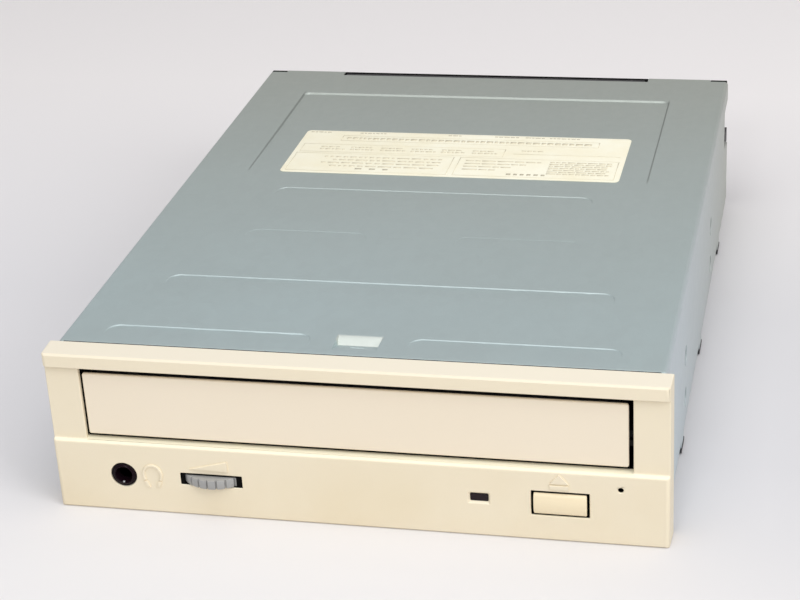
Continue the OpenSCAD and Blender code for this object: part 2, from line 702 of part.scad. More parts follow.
module motor_screws() color(steel) place()
    for (s = [-1, 1]) pan_screw(motor_x, motor_y + s * 8, deck_top, deck_z - 2, 1.1);

module grooved(r, x, y) {
    rod_up(pulley_z, pulley_z + 0.5, x, y, r + 1.3);
    rod_up(pulley_z, pulley_z + 2.2, x, y, r);
    rod_up(pulley_z + 1.7, pulley_z + 2.2, x, y, r + 1.3);
}

module motor_pulley() color(white) place() {
    grooved(motor_pulley_r, motor_x, motor_y);
    rod_up(motor_foot + 3.6, pulley_z + 0.2, motor_x, motor_y, shaft_r);
}

// the belt wraps each pulley between the two tangent points
module drive_belt() color(black) place() {
    d = [pulley_x - motor_x, pulley_y - motor_y];
    span = norm(d);
    lean = acos((pulley_r - motor_pulley_r) / span);
    way = atan2(d[1], d[0]);
    translate([motor_x, motor_y, pulley_z + 0.6]) rotate(way) linear_extrude(height = 1) difference() {
        belt_loop(span, lean, belt_fit + belt_t);
        belt_loop(span, lean, belt_fit);
    }
}

module belt_loop(span, lean, grow) {
    steps = 24;
    big = 180 - lean;
    far = [for (i = [0 : steps]) let (a = -big + 2 * big * i / steps)
        [span, 0] + (pulley_r + grow) * [cos(a), sin(a)]];
    near = [for (i = [0 : steps]) let (a = big + 2 * lean * i / steps)
        (motor_pulley_r + grow) * [cos(a), sin(a)]];
    polygon(concat(far, near));
}

module pulley_gear() color(white) place() difference() {
    union() {
        grooved(pulley_r, pulley_x, pulley_y);
        translate([pulley_x, pulley_y, pulley_z + 2]) linear_extrude(height = train_z - pulley_z)
            gear_2d(train_m, small_teeth, train_a + 180 + 180 / small_teeth);
    }
    rod_up(deck_top, tray_z, pulley_x, pulley_y, pulley_post_r + run_fit);
}

module tray_gear() color(white) place() difference() {
    union() {
        rod_up(pulley_z, train_z + 0.5, gear_x, gear_y, 4);
        translate([gear_x, gear_y, train_z]) linear_extrude(height = 1.8) gear_2d(train_m, gear_teeth, train_a);
        translate([gear_x, gear_y, train_z + 1]) linear_extrude(height = pinion_top - train_z - 1)
            gear_2d(rack_m, pinion_teeth, 180);
    }
    rod_up(deck_top, tray_z, gear_x, gear_y, gear_post_r + run_fit);
}

module cam_slider() color(white) place() along_y(cam_y0, cam_y1) difference() {
    end = pin_x + cam_travel + 9;
    low = pivot_z - pin_drop;
    slot_r = pin_r + pin_fit;
    polygon([[-pin_x - 8, cam_z0], [end, cam_z0], [end, deck_z - 2.2], [guide_x - 2.5, deck_z - 2.2],
             [guide_x - 1.2, deck_z - 0.2], [guide_x - 1.2, deck_top], [end, deck_top + 2], [end, cam_z1],
             [-pin_x - 8, cam_z1]]);
    for (x = [-pin_x, pin_x]) {
        slot_2d([x - 3, pivot_z], [x, pivot_z], slot_r);
        slot_2d([x, pivot_z], [x + cam_travel, low], slot_r);
        slot_2d([x + cam_travel, low], [x + cam_travel + 3, low], slot_r);
    }
}

// traverse
module traverse_frame() color(black) place() difference() {
    union() {
        difference() {
            block([-ring_x, ring_y0, ring_z0], [ring_x, ring_y1, ring_z1]);
            block([-ring_in, ring_y0 + 7, ring_z0 - 1], [ring_in, ring_y1 - 8, ring_z1 + 1]);
            both() block([ring_in + 2, ring_y0 + 10, ring_z0 - 1], [ring_x - 2, damper_y0 + 30, ring_z0 + 3.2]);
            both() block([ring_in + 2, damper_y0 + 34, ring_z0 - 1], [ring_x - 2, ring_y1 - 14, ring_z0 + 3.2]);
        }
        both() for (y = [[ring_y0 + 6, damper_y0 + 5], [damper_y1 - 5, ring_y1 - 7]])
            block([damper_x - 4.4, y[0], tab_z - 1.6], [ring_in + 1, y[1], tab_z]);
        both() rod_along_y(cam_y0 + 0.3, ring_y0 + 1, pin_x, pivot_z, pin_r);
        both() rod_along_x(ring_x - 1, well_x + 5, pivot_y, pivot_z, pin_r);
    }
    both() for (y = [damper_y0, damper_y1]) rod_up(tab_z - 3, tab_z + 1, damper_x, y, damper_bore + 0.05);
}

module mech_base() color(steel) place() difference() {
    block([-base_x, base_y0, base_z], [base_x, base_y1, base_z + base_t]);
    block([-bay_x, bay_y0, base_z - 1], [bay_x, bay_y1, base_z + 3]);
    block([screw_x - sled_motor_r - 0.6, sled_y0 - 0.6, base_z - 1], [base_x + 1, bay_y0 + 1, base_z + 3]);
    rod_up(base_z - 1, base_z + 3, 0, disc_y, 4.1);
    both() for (y = [damper_y0, damper_y1]) rod_up(base_z - 1, base_z + 3, damper_x, y, waist_r + 0.05);
}

module rubber_dampers() color(black) place()
    both() for (y = [damper_y0, damper_y1])
        translate([damper_x, y, tab_z]) rotate_extrude()
            polygon([[damper_bore + 0.1, 0], [damper_r, 0], [damper_r, 2.4], [waist_r, 2.4], [waist_r, 2.4 + base_t],
                     [damper_r, 2.4 + base_t], [damper_r, damper_h], [damper_bore + 0.1, damper_h]]);

module damper_screws() color(steel) place()
    both() for (y = [damper_y0, damper_y1]) pan_screw(damper_x, y, tab_z + damper_h, tab_z - 1.6, damper_bore);

module spindle_motor() color(steel) place() difference() {
    union() {
        rod_up(motor_z, base_z, 0, disc_y, spindle_r);
        rod_up(base_z - 1, base_z + 4, 0, disc_y, 4);
    }
    rod_up(motor_z + 1, base_z + 5, 0, disc_y, shaft_r + run_fit);
}

module turntable() color(black) place() translate([0, disc_y, 0]) rotate_extrude()
    polygon([[0, motor_z + 1.2], [shaft_r, motor_z + 1.2], [shaft_r, base_z + 4.4], [3, base_z + 4.4],
             [3, seat_z - 1.8], [turntable_r - 0.6, seat_z - 1.8], [turntable_r, seat_z - 1.2],
             [turntable_r, seat_z], [7.4, seat_z], [7.4, seat_z + 1], [6.4, seat_z + 1.8], [0, seat_z + 1.8]]);

module turntable_mat() color(black) place() difference() {
    rod_up(seat_z, seat_z + 0.5, 0, disc_y, turntable_r - 0.5);
    rod_up(seat_z - 1, seat_z + 2, 0, disc_y, turntable_r - 4.5);
}

module guide_rods() color(steel) place() both() rod_along_y(rod_y0, rod_y1, rod_x, rod_z, rod_r);

module rod_clips() color(black) place() {
    both() for (y = [rod_y0, bay_y1 + 0.2]) difference() {
        block([rod_x - 3.2, y, rod_z - 2.8], [rod_x + 3.2, y + 4.2, base_z]);
        rod_along_y(y - 1, y + 6, rod_x, rod_z, rod_r + 0.02);
    }
    difference() {
        block([screw_x - 2.8, bay_y1 + 0.2, rod_z - 2.8], [screw_x + 2.8, rod_y1, base_z]);
        rod_along_y(bay_y1, rod_y1 + 1, screw_x, rod_z, screw_r + run_fit);
    }
}

module sled_motor() color(steel) place() difference() {
    union() {
        rod_along_y(sled_y0, sled_y1, screw_x, rod_z, sled_motor_r);
        rod_along_y(sled_y1 - 1, sled_y1 + 1, screw_x, rod_z, 2.4);
    }
    rod_along_y(sled_y0 + 4, sled_y1 + 2, screw_x, rod_z, 0.8 + run_fit);
}

module sled_screw() color(steel) place() {
    rod_along_y(sled_y1 + 1.6, rod_y1 - 0.2, screw_x, rod_z, screw_r);
    rod_along_y(sled_y0 + 4.4, sled_y1 + 2, screw_x, rod_z, 0.8);
}

module pickup_body() color(black) place() difference() {
    jaw = rod_r + run_fit;
    nut_x = screw_x - screw_r - 0.3;
    union() {
        block([-pickup_x, pickup_y - pickup_l, pickup_z0], [pickup_x, pickup_y + pickup_l, pickup_z1]);
        block([-rod_x - 3.4, pickup_y - 9, pickup_z0], [1 - pickup_x, pickup_y + 9, rod_z + 3]);
        block([pickup_x - 1, pickup_y - 4, rod_z + jaw], [rod_x + 3, pickup_y + 4, rod_z + 3]);
        block([pickup_x - 1, pickup_y - 4, pickup_z0], [nut_x, pickup_y + 4, rod_z - jaw]);
        block([nut_x - 2, pickup_y - 4, pickup_z0], [nut_x, pickup_y + 4, rod_z + 1.2]);
    }
    rod_along_y(pickup_y - 20, pickup_y + 20, -rod_x, rod_z, jaw);
    rod_along_y(pickup_y - pickup_l - 4, pickup_y - pickup_l + 2, 0, pickup_z0, 6);
    rod_up(pickup_z1 - 0.4, pickup_z1 + 1, 0, lens_y, 4.6);
}

module pickup_cover() color(steel) place() difference() {
    half = pickup_x - 2.5;
    block([-half, pickup_y - 9, pickup_z1], [half, pickup_y + 9, pickup_z1 + 3]);
    block([0.6 - half, pickup_y - 8.4, pickup_z1 - 1], [half - 0.6, pickup_y + 8.4, pickup_z1 + 2.4]);
    round_slab(-6, 6, lens_y - 5, lens_y + 5, pickup_z1, pickup_z1 + 4, 2);
}

module objective_lens() color(white) place() translate([0, lens_y, 0]) rotate_extrude()
    translate([0, pickup_z1])
        polygon([[0, 0.5], [4, 0.5], [4, 3.8], [3, 3.8], [2.6, 4.4], [1.4, 4.8], [0, 4.9]]);

// electronics
module main_board() color(board) place() difference() {
    block([-main_x, main_y0, main_z], [main_x, main_y1, main_top]);
    both() for (y = [stand_y0, stand_y1]) rod_up(main_z - 1, main_top + 1, stand_x, y, 1.6);
}

module board_screws() color(steel) place() {
    both() for (y = [stand_y0, stand_y1]) pan_screw(stand_x, y, main_top, 1, 1.4);
    both() translate([0, 0, front_z]) mirror([0, 0, 1]) pan_screw(post_x, post_y, 0, -board_t - 4, 1.1);
}

// chips: x, distance from the board's rear edge, width, depth
chip_h = 2.2;
chips = [[0, 42, 26, 26], [-32, 48, 20, 14], [30, 48, 18, 9], [28, 28, 14, 14], [-30, 24, 12, 16],
    [-40, 72, 10, 10], [12, 72, 10, 18]];

module main_chips() color(black) place()
    for (c = chips)
        translate([c[0], main_y1 - c[1], main_top + chip_h / 2]) cube([c[2], c[3], chip_h], center = true);

can_x = main_x - 13;
can_r = 3;
can_h = 7;

module capacitors() color(black) place()
    for (c = [[can_x, 22], [can_x, 32], [-can_x, 28], [can_x - 8, 14]])
        translate([c[0], main_y1 - c[1], main_top]) {
            cylinder(h = can_h, r = can_r);
            cylinder(h = 0.6, r = can_r + 0.4);
        }

module shroud(x, w, y0, z1, cavity_w, cavity_z0, cavity_z1, back) difference() {
    block([x - w / 2, y0, main_top], [x + w / 2, plug_y1, z1]);
    block([x - cavity_w / 2, y0 + back, cavity_z0], [x + cavity_w / 2, plug_y1 + 1, cavity_z1]);
}

data_y = plug_y1 - 9.4;
data_back = 1.5;
data_row = main_top + 4.5;
audio_y = plug_y1 - 8;
jumper_y = plug_y1 - 7.5;
power_y = plug_y1 - 12;
power_back = 1.6;
power_row = main_top + 5.4;

module data_header() color(black) place() difference() {
    shroud(data_x, data_w, data_y, main_top + 9, data_w - 2, data_row - 3.3, data_row + 3.3, data_back);
    block([data_x - 2.2, data_y + data_back, data_row], [data_x + 2.2, plug_y1 + 1, main_top + 10]);
}

module square_pins(x, columns, row, y0, y1)
    for (k = [0 : columns - 1], s = [-1, 1])
        translate([x + (k - (columns - 1) / 2) * pin_pitch - pin_w / 2, y0, row + s * pin_pitch / 2 - pin_w / 2])
            cube([pin_w, y1 - y0, pin_w]);

module header_pins() color(gold) place() {
    square_pins(data_x, 20, data_row, data_y + data_back, plug_y1 - 2);
    square_pins(jumper_x, 3, main_top + 3.2, jumper_y + 2.5, plug_y1 - 0.2);
    for (k = [-1.5 : 1 : 1.5])
        translate([audio_x + k * pin_pitch - pin_w / 2, audio_y + 1.4, main_top + 3])
            cube([pin_w, plug_y1 - audio_y - 2.9, pin_w]);
}

module power_socket() color(white) place() difference() {
    block([power_x - power_w / 2, power_y, main_top], [power_x + power_w / 2, plug_y1, main_top + 11.2]);
    along_y(power_y + power_back, plug_y1 + 1)
        polygon([[power_x - 9.4, power_row - 4.2], [power_x + 9.4, power_row - 4.2], [power_x + 9.4, power_row + 2],
                 [power_x + 7.2, power_row + 4.4], [power_x - 7.2, power_row + 4.4], [power_x - 9.4, power_row + 2]]);
}

module power_pins() color(gold) place()
    for (k = [-1.5 : 1 : 1.5])
        rod_along_y(power_y + power_back, plug_y1 - 1.6, power_x + k * power_pitch, power_row, 1.05);

module audio_header() color(black) place()
    shroud(audio_x, audio_w, audio_y, main_top + 6.6, audio_w - 1.6, main_top + 1, main_top + 5.6, 1.4);

module jumper_block() color(black) place()
    block([jumper_x - jumper_w / 2, jumper_y, main_top], [jumper_x + jumper_w / 2, jumper_y + 2.5, main_top + 6]);

module jumper_cap() color(white) place() difference() {
    x = jumper_x + pin_pitch;
    z = main_top + 3.2;
    block([x - 1.15, jumper_y + 2.9, z - 2.5], [x + 1.15, plug_y1, z + 2.5]);
    for (s = [-1, 1])
        block([x - pin_w / 2 - seat_fit, jumper_y, z + s * pin_pitch / 2 - pin_w / 2 - seat_fit],
              [x + pin_w / 2 + seat_fit, plug_y1 + 1, z + s * pin_pitch / 2 + pin_w / 2 + seat_fit]);
}

module front_board() color(board) place() difference() {
    edge = guide_x - 0.8;
    union() {
        block([-edge, -2.8, front_z], [edge - 4, motor_y - motor_r - 2.5, front_top]);
        block([-edge, -2.8, front_z], [motor_x - 26, post_y + 3.5, front_top]);
        block([motor_x + 18, -2.8, front_z], [edge - 4, post_y + 3.5, front_top]);
    }
    both() rod_up(front_z - 1, front_top + 1, post_x, post_y, 1.3);
}

module headphone_jack() color(black) place() difference() {
    union() {
        block([jack_x - 5.6, -3.4, front_top], [jack_x + 5.6, 11, control_z + 3.6]);
        rod_along_y(-bezel_d + 0.1, -3, jack_x, control_z, jack_r);
    }
    rod_along_y(-bezel_d - 1, 9, jack_x, control_z, jack_bore);
}

wheel_y = front_y + wheel_r;
pot_r = 2;

module volume_pot() color(grey) place() {
    block([wheel_x - 5.5, max(wheel_y - 5, panel_back + 0.3), front_top],
          [wheel_x + 5.5, wheel_y + 5, control_z - wheel_t / 2 - 0.3]);
    rod_up(front_top, control_z + wheel_t / 2 + 0.3, wheel_x, wheel_y, pot_r);
}

// grooved thumbwheel
groove_n = 27;
groove_w = 0.5;

module volume_wheel() color(grey) place() difference() {
    rod_up(control_z - wheel_t / 2, control_z + wheel_t / 2, wheel_x, wheel_y, wheel_r);
    rod_up(control_z - wheel_t, control_z + wheel_t, wheel_x, wheel_y, pot_r + run_fit);
    for (k = [0 : groove_n - 1])
        translate([wheel_x, wheel_y, control_z - wheel_t]) rotate(k * 360 / groove_n)
            translate([wheel_r, 0, 0]) rotate(45) translate([-groove_w / 2, -groove_w / 2, 0])
                cube([groove_w, groove_w, 2 * wheel_t]);
}

switch_y = 4;
plunger_r = 1.4;

module eject_switch() color(black) place() difference() {
    block([button_x - 3, switch_y, front_top], [button_x + 3, switch_y + 4.6, control_z + 3]);
    rod_along_y(switch_y - 1, switch_y + 3.6, button_x, control_z, plunger_r + run_fit);
}

module switch_plunger() color(white) place()
    rod_along_y(switch_y - 1.6, switch_y + 3.4 - button_travel, button_x, control_z, plunger_r);

module eject_button() color(cream) place() {
    w = button_w / 2;
    h = button_h / 2;
    front = -bezel_d - 0.4;
    translate([button_x, 0, control_z]) {
        along_x(-w, w)
            polygon([[front + 0.4, -h], [panel_back + 0.5, -h], [panel_back + 0.5, h], [front + 0.4, h],
                     [front, h - 0.7], [front, 0.7 - h]]);
        block([-w - 1, panel_back + 0.3, -3.5], [w + 1, panel_back + 1.4, 3.5]);
        block([-2, panel_back + 1, -1.5], [2, switch_y - 1.6, 1.5]);
    }
}

module busy_led() color(white) place() {
    block([led_x - 1.6, -1.8, front_top], [led_x + 1.6, 2, control_z + 1.6]);
    rod_along_y(-3, -1, led_x, control_z, 1.1);
}

module led_window() color([0.3, 0.24, 0.28]) place()
    block([led_x - 2.1, -bezel_d + 0.5, led_z - 1], [led_x + 2.1, -3, led_z + 1]);

module front_ribbon() color(white) place() along_x(motor_x - 32, motor_x - 16) {
    t = 0.3;
    low = sheet + 0.4;
    rise = main_y0 + 9;
    end = main_y0 + 18;
    polygon([[2, front_z], [2, front_z - t], [7 - t, front_z - t], [9 - t, low + t], [10 - t, low],
             [rise, low], [rise + 2, main_z - t], [end, main_z - t], [end, main_z], [rise + 2 - t, main_z],
             [rise - t, low + t], [10, low + t], [9, low + 2 * t], [7, front_z]]);
}

module base_screws() color(steel) place()
    both() for (y = [leg_y0, leg_y1]) translate([leg_x, y, 0]) difference() {
        union() {
            cylinder(h = sheet, r1 = 2.8, r2 = 1.6);
            cylinder(h = 8, r = 1.4);
        }
        for (a = [0, 90]) rotate(a) cube([3.2, 0.6, 0.8], center = true);
    }

top_cover();
cover_label();
bottom_pan();
front_bezel();
main_frame();
rear_panel();
clamp_bridge();
bridge_screws();
clamper();
clamper_magnet();
disc_tray();
tray_door();
loading_motor();
motor_screws();
motor_pulley();
drive_belt();
pulley_gear();
tray_gear();
cam_slider();
traverse_frame();
mech_base();
rubber_dampers();
damper_screws();
spindle_motor();
turntable();
turntable_mat();
guide_rods();
rod_clips();
sled_motor();
sled_screw();
pickup_body();
pickup_cover();
objective_lens();
main_board();
board_screws();
main_chips();
capacitors();
data_header();
header_pins();
power_socket();
power_pins();
audio_header();
jumper_block();
jumper_cap();
front_board();
headphone_jack();
volume_pot();
volume_wheel();
eject_switch();
switch_plunger();
eject_button();
busy_led();
led_window();
front_ribbon();
base_screws();
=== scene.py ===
"""Looks of a tray-loading optical drive: cream bezel, galvanised cover, and the works inside.

Places are in millimetres, as the CAD source gives them: x to the right seen from the front, y back
from the rear plane of the bezel, z up from the underside. place() turns them into the row frame.
"""

import json
import math
import random

import bmesh
import bpy
import numpy as np
from mathutils import Matrix, Vector
from mathutils.geometry import delaunay_2d_cdt


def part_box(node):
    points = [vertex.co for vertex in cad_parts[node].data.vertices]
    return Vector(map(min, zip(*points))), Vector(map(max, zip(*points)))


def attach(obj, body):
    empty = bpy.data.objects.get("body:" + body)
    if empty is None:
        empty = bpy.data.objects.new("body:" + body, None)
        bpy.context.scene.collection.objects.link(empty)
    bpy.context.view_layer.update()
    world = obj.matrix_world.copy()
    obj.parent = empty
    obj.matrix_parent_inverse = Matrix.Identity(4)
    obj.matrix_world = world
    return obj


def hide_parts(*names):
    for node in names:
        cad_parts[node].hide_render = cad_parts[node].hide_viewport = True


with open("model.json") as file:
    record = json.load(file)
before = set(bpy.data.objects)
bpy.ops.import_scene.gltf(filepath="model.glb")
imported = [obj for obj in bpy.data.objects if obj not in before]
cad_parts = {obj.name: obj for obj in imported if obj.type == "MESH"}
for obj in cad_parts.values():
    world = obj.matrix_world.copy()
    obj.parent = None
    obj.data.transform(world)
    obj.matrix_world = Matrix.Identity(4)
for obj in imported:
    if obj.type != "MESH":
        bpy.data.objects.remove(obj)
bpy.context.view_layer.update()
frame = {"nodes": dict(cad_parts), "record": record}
nodes = frame["nodes"]
scene = bpy.context.scene

# sizes

MM = 0.001
Y_MID = 92.3  # the CAD source centres the drive over its whole depth

JOIN_MM = 0.002  # points nearer than this are one point
SIDE_NAMES = {-1: "left", 1: "right"}

# sheet of the cover, its rear notch, and the tabs that turn down beside it
COVER_HALF = 73.0
COVER_TOP = 41.6
COVER_FRONT = 1.2
COVER_REAR = 191.4
NOTCH_HALF = 48.5
NOTCH_REAR = 189.8
TAB_OUTER = 67.5
TAB_REAR = 194.0
TAB_BOTTOM = 35.6
TAB_BEND_R = 1.4
SHEET = 0.8
BEND_R = 1.1

# side walls of the cover: hooks, bay holes, rear notch, and the cut for an ear of the frame
SIDE_T, SIDE_EDGE, SIDE_LOW = 0.5, 0.06, 3.3
HOOKS = (36.4, 90.0, 155.1)
HOOK_LENGTH, HOOK_SLANT, HOOK_LOW = 6.0, 0.4, 0.9
BAY_HOLES_Y, BAY_HOLES_Z, BAY_HOLE_R = (47.4, 126.64), (10, 21.84), 2.6
SIDE_NOTCH_FRONT, SIDE_NOTCH_LOW, SIDE_NOTCH_HIGH = 179.0, 24.04, 36.0
EAR_FRONT, EAR_LOW = 186.2, 21.84

# beads that are pressed into the top
BEAD_SLOPE = 0.4
BEAD_CORNER = 3.3
BEAD_RUN = 7.0
BEAD_START = 0.01  # the first line across a bead lies this far inside its run
BEAD_STOPS = (5.5, 4.2)  # more lines across it, this far from its rear edge
BEAD_CELL = 1.2
BEAD_WAVER = 0.09  # share by which the depth of a bead wavers
# left end, right end, rear edge and depth of each pressed bead
BEADS = (
    (-44.8, 43.8, 98.5, 0.26), (11.6, 44.2, 69.7, 0.1), (-44.8, -12, 69.7, 0.14),
    (-57.2, 56.8, 40.1, 0.28), (11.6, 62, 11.2, 0.25), (-63.2, -11.9, 10.9, 0.28),
)

# label, and the ramped panel that it lies on
LABEL_X, LABEL_HALF, LABEL_Y0, LABEL_Y1, LABEL_T = 0.7, 48.3, 109.2, 142.5, 0.12
LABEL_CORNER, LABEL_EDGE = 1.5, 0.03
INK_LIFT, INK_T = 0.02, 0.015
PANEL_HALF = 57.0
PANEL_FRONT = 108.6
PANEL_REAR = 173.4
PANEL_OPEN = 20  # the panel has no front edge: its outline runs on this far
PANEL_DEPTH = 0.5
PANEL_SLOPE = 0.6
PANEL_CORNER = 2.2
RAMP_END = LABEL_Y1 + 0.5
PANEL_STOPS = (PANEL_FRONT, 120, 132, RAMP_END, 156)  # lines across the panel
CREASE_IN, CREASE_HALF = 0.25, 0.12  # painted shade: a dark line at the foot of the panel's sides

# catch at the front of the top, with its slit
CATCH_X = -0.5
CATCH_HALF = 5.4
CATCH_SIDE = 0.3
CATCH_REAR = 11.7
CATCH_FRONT = 3.6
CATCH_RUN = 2.9
CATCH_ROUND = 0.4  # share of the run that is rounded, at the top of the slope
CATCH_STOPS = (0, 0.08, 0.16, 0.24, CATCH_ROUND, 0.6, 1)  # shares of the run that get a line
CATCH_DEPTH = 1.55
SLIT_X0, SLIT_X1, SLIT_Y0, SLIT_Y1 = -2.0, 1.3, 6.2, 6.8
SLIT_SIDE, SLIT_LIP, SLIT_RUN, SLIT_DEPTH = 0.2, 0.1, 0.34, 0.5

# bezel and controls
BEZEL_FRONT = -7.2
CONTROL_Z = 10.0
WHEEL_X, WHEEL_Y, WHEEL_Z, WHEEL_R, WHEEL_T = -35.0, -0.2, 9.88, 9.05, 2.4
WHEEL_HUB, WHEEL_RIM = 2.1, 1.6
GROOVES, GROOVE_W, GROOVE_DEPTH, GROOVE_TURN = 25, 0.5, 0.5, -0.12
JACK_X, JACK_R, JACK_BORE, JACK_SEAT = -57.1, 3.1, 1.8, -3.4
BUTTON_X, BUTTON_Z, BUTTON_W, BUTTON_H = 49.08, 9.9, 12.4, 5.55
BUTTON_PROUD, BUTTON_BACK, BUTTON_CROWN, BUTTON_EDGE = 0.55, -3.6, 0.5, 0.3
# walls of the openings for the wheel, and for the button and the pin, which are painted dark as shade
GAP_WHEEL_X, GAP_BUTTON_X, GAP_Y, GAP_Z = (-43.5, -26.5), (42, 66), (-6.65, -4.6), (5, 16.5)
# sides of the eject button inside its opening, which are painted dark as shade
BUTTON_SIDE_Y = (-6.72, -3.0)


def place(x, y, z):
    return Vector((x * MM, (y - Y_MID) * MM, z * MM))


# finishes


def srgb(r, g, b):
    """A colour as the eye reads it, 0 to 255, turned into the linear values that shaders take."""
    parts = [c / 255 for c in (r, g, b)]
    return tuple(c / 12.92 if c <= 0.04045 else ((c + 0.055) / 1.055) ** 2.4 for c in parts) + (1.0,)


class Finish:
    """A Principled material, with the few kinds of procedural detail that this drive needs."""

    def __init__(self, name, colour, roughness, metallic=0.0):
        self.material = bpy.data.materials.new(name)
        self.material.use_nodes = True
        self.tree = self.material.node_tree
        self.shader = self.tree.nodes["Principled BSDF"]
        self.set("Base Color", colour)
        self.set("Roughness", roughness)
        self.set("Metallic", metallic)
        self.coords = self.add("ShaderNodeTexCoord").outputs["Object"]
        self.material.diffuse_color = colour

    def set(self, socket, value):
        self.shader.inputs[socket].default_value = value

    def add(self, kind, **inputs):
        node = self.tree.nodes.new(kind)
        for name, value in inputs.items():
            node.inputs[name.replace("_", " ")].default_value = value
        return node

    def link(self, source, target):
        self.tree.links.new(source, target)

    def stretched(self, x, y, z):
        node = self.add("ShaderNodeMapping")
        node.inputs["Scale"].default_value = (x, y, z)
        self.link(self.coords, node.inputs["Vector"])
        return node.outputs["Vector"]

    def noise(self, per_metre, detail=3.0, rough=0.55, coords=None):
        node = self.add("ShaderNodeTexNoise", Scale=per_metre, Detail=detail, Roughness=rough)
        self.link(coords or self.coords, node.inputs["Vector"])
        return node.outputs["Fac"]

    def remap(self, value, low, high, to_low=0.0, to_high=1.0):
        node = self.add("ShaderNodeMapRange")
        ends = {"From Min": low, "From Max": high, "To Min": to_low, "To Max": to_high}
        for name, number in ends.items():
            node.inputs[name].default_value = number
        self.link(value, node.inputs["Value"])
        return node.outputs["Result"]

    def mix(self, factor, a, b):
        node = self.tree.nodes.new("ShaderNodeMix")
        node.data_type = "RGBA"
        for socket, value in ((node.inputs[0], factor), (node.inputs[6], a), (node.inputs[7], b)):
            if isinstance(value, bpy.types.NodeSocket):
                self.link(value, socket)
            else:
                socket.default_value = value
        return node.outputs[2]

    def axis(self, letter):
        node = self.add("ShaderNodeSeparateXYZ")
        self.link(self.coords, node.inputs[0])
        return node.outputs[letter]

    def math(self, operation, a, b=0.0):
        node = self.tree.nodes.new("ShaderNodeMath")
        node.operation = operation
        for socket, value in zip(node.inputs, (a, b)):
            if isinstance(value, bpy.types.NodeSocket):
                self.link(value, socket)
            else:
                socket.default_value = value
        return node.outputs[0]

    def colour(self, socket):
        self.link(socket, self.shader.inputs["Base Color"])
        return self

    def gloss(self, per_metre, low, high):
        self.link(self.remap(self.noise(per_metre), 0.3, 0.7, low, high), self.shader.inputs["Roughness"])
        return self

    def bump(self, height, strength, depth_mm):
        node = self.add("ShaderNodeBump", Strength=strength, Distance=depth_mm * MM)
        previous = self.shader.inputs["Normal"].links
        if previous:
            self.link(previous[0].from_socket, node.inputs["Normal"])
        self.link(height, node.inputs["Height"])
        self.link(node.outputs["Normal"], self.shader.inputs["Normal"])
        return self


def faces_up(f):
    """1 on faces that look up, and 0 on upright ones."""
    normal = f.add("ShaderNodeSeparateXYZ")
    f.link(f.add("ShaderNodeNewGeometry").outputs["Normal"], normal.inputs[0])
    return f.remap(normal.outputs["Z"], 0.6, 0.95)


def between(f, letter, low_mm, high_mm, soft_mm=0.3):
    """1 between two places along an axis of the row frame, with soft ends."""
    value = f.axis(letter)
    rise = f.remap(value, (low_mm - soft_mm) * MM, low_mm * MM)
    fall = f.remap(value, high_mm * MM, (high_mm + soft_mm) * MM, 1.0, 0.0)
    return f.math("MULTIPLY", rise, fall)


def between_y(f, low_mm, high_mm, soft_mm=0.3):
    """The same along y, with its places as the CAD source gives them."""
    return between(f, "Y", low_mm - Y_MID, high_mm - Y_MID, soft_mm)


def control_gap_shade(f):
    """1 on the walls of the openings for the wheel, button and pin, which are painted dark as shade."""
    sides = f.math("MAXIMUM", between(f, "X", *GAP_WHEEL_X), between(f, "X", *GAP_BUTTON_X))
    inside = f.math("MULTIPLY", between_y(f, *GAP_Y), between(f, "Z", *GAP_Z))
    return f.math("MULTIPLY", sides, inside)


def button_side_shade(f):
    """1 on the sides of the eject button that stand inside its opening, which are painted dark as shade."""
    return between_y(f, *BUTTON_SIDE_Y, 0.15)


def moulded(name, fresh, aged, roughness, grain=0.03, gaps=None, top_light=None):
    """Moulded ABS: cloudy yellowing that is strongest low down, specks, a fine spark-eroded grain.

    gaps() marks the walls of openings, which get painted shade. The tones for faces that look up, low down
    and high up, are painted light that makes those faces paler.
    """
    f = Finish(name, fresh, roughness)
    # the second colour is painted shade for the walls of openings
    speck, gap_shade_colour = srgb(150, 132, 104), srgb(16, 12, 11)
    clouds = f.remap(f.noise(34, 4), 0.35, 0.7)
    low_down = f.remap(f.axis("Z"), 0.0, 0.022, 0.55, 0.1)
    ageing = f.math("MULTIPLY", clouds, low_down)
    tone = f.mix(ageing, fresh, aged)
    specks = f.remap(f.noise(5200, 2), 0.62, 0.78, 0.0, 0.07)
    tone = f.mix(specks, tone, speck)
    # painted light: faces that look up are made paler, low down most of all
    if top_light:
        tone = f.mix(faces_up(f), tone, f.mix(f.remap(f.axis("Z"), 0.022, 0.038), *top_light))
    # painted shade on the walls of openings
    if gaps:
        tone = f.mix(gaps(f), tone, gap_shade_colour)
    f.colour(tone)
    f.gloss(420, roughness - 0.06, roughness + 0.08)
    f.bump(f.noise(4600, 2, 0.5), 0.35, grain)
    f.bump(f.noise(160, 2, 0.4), 0.12, 0.05)
    return f.material


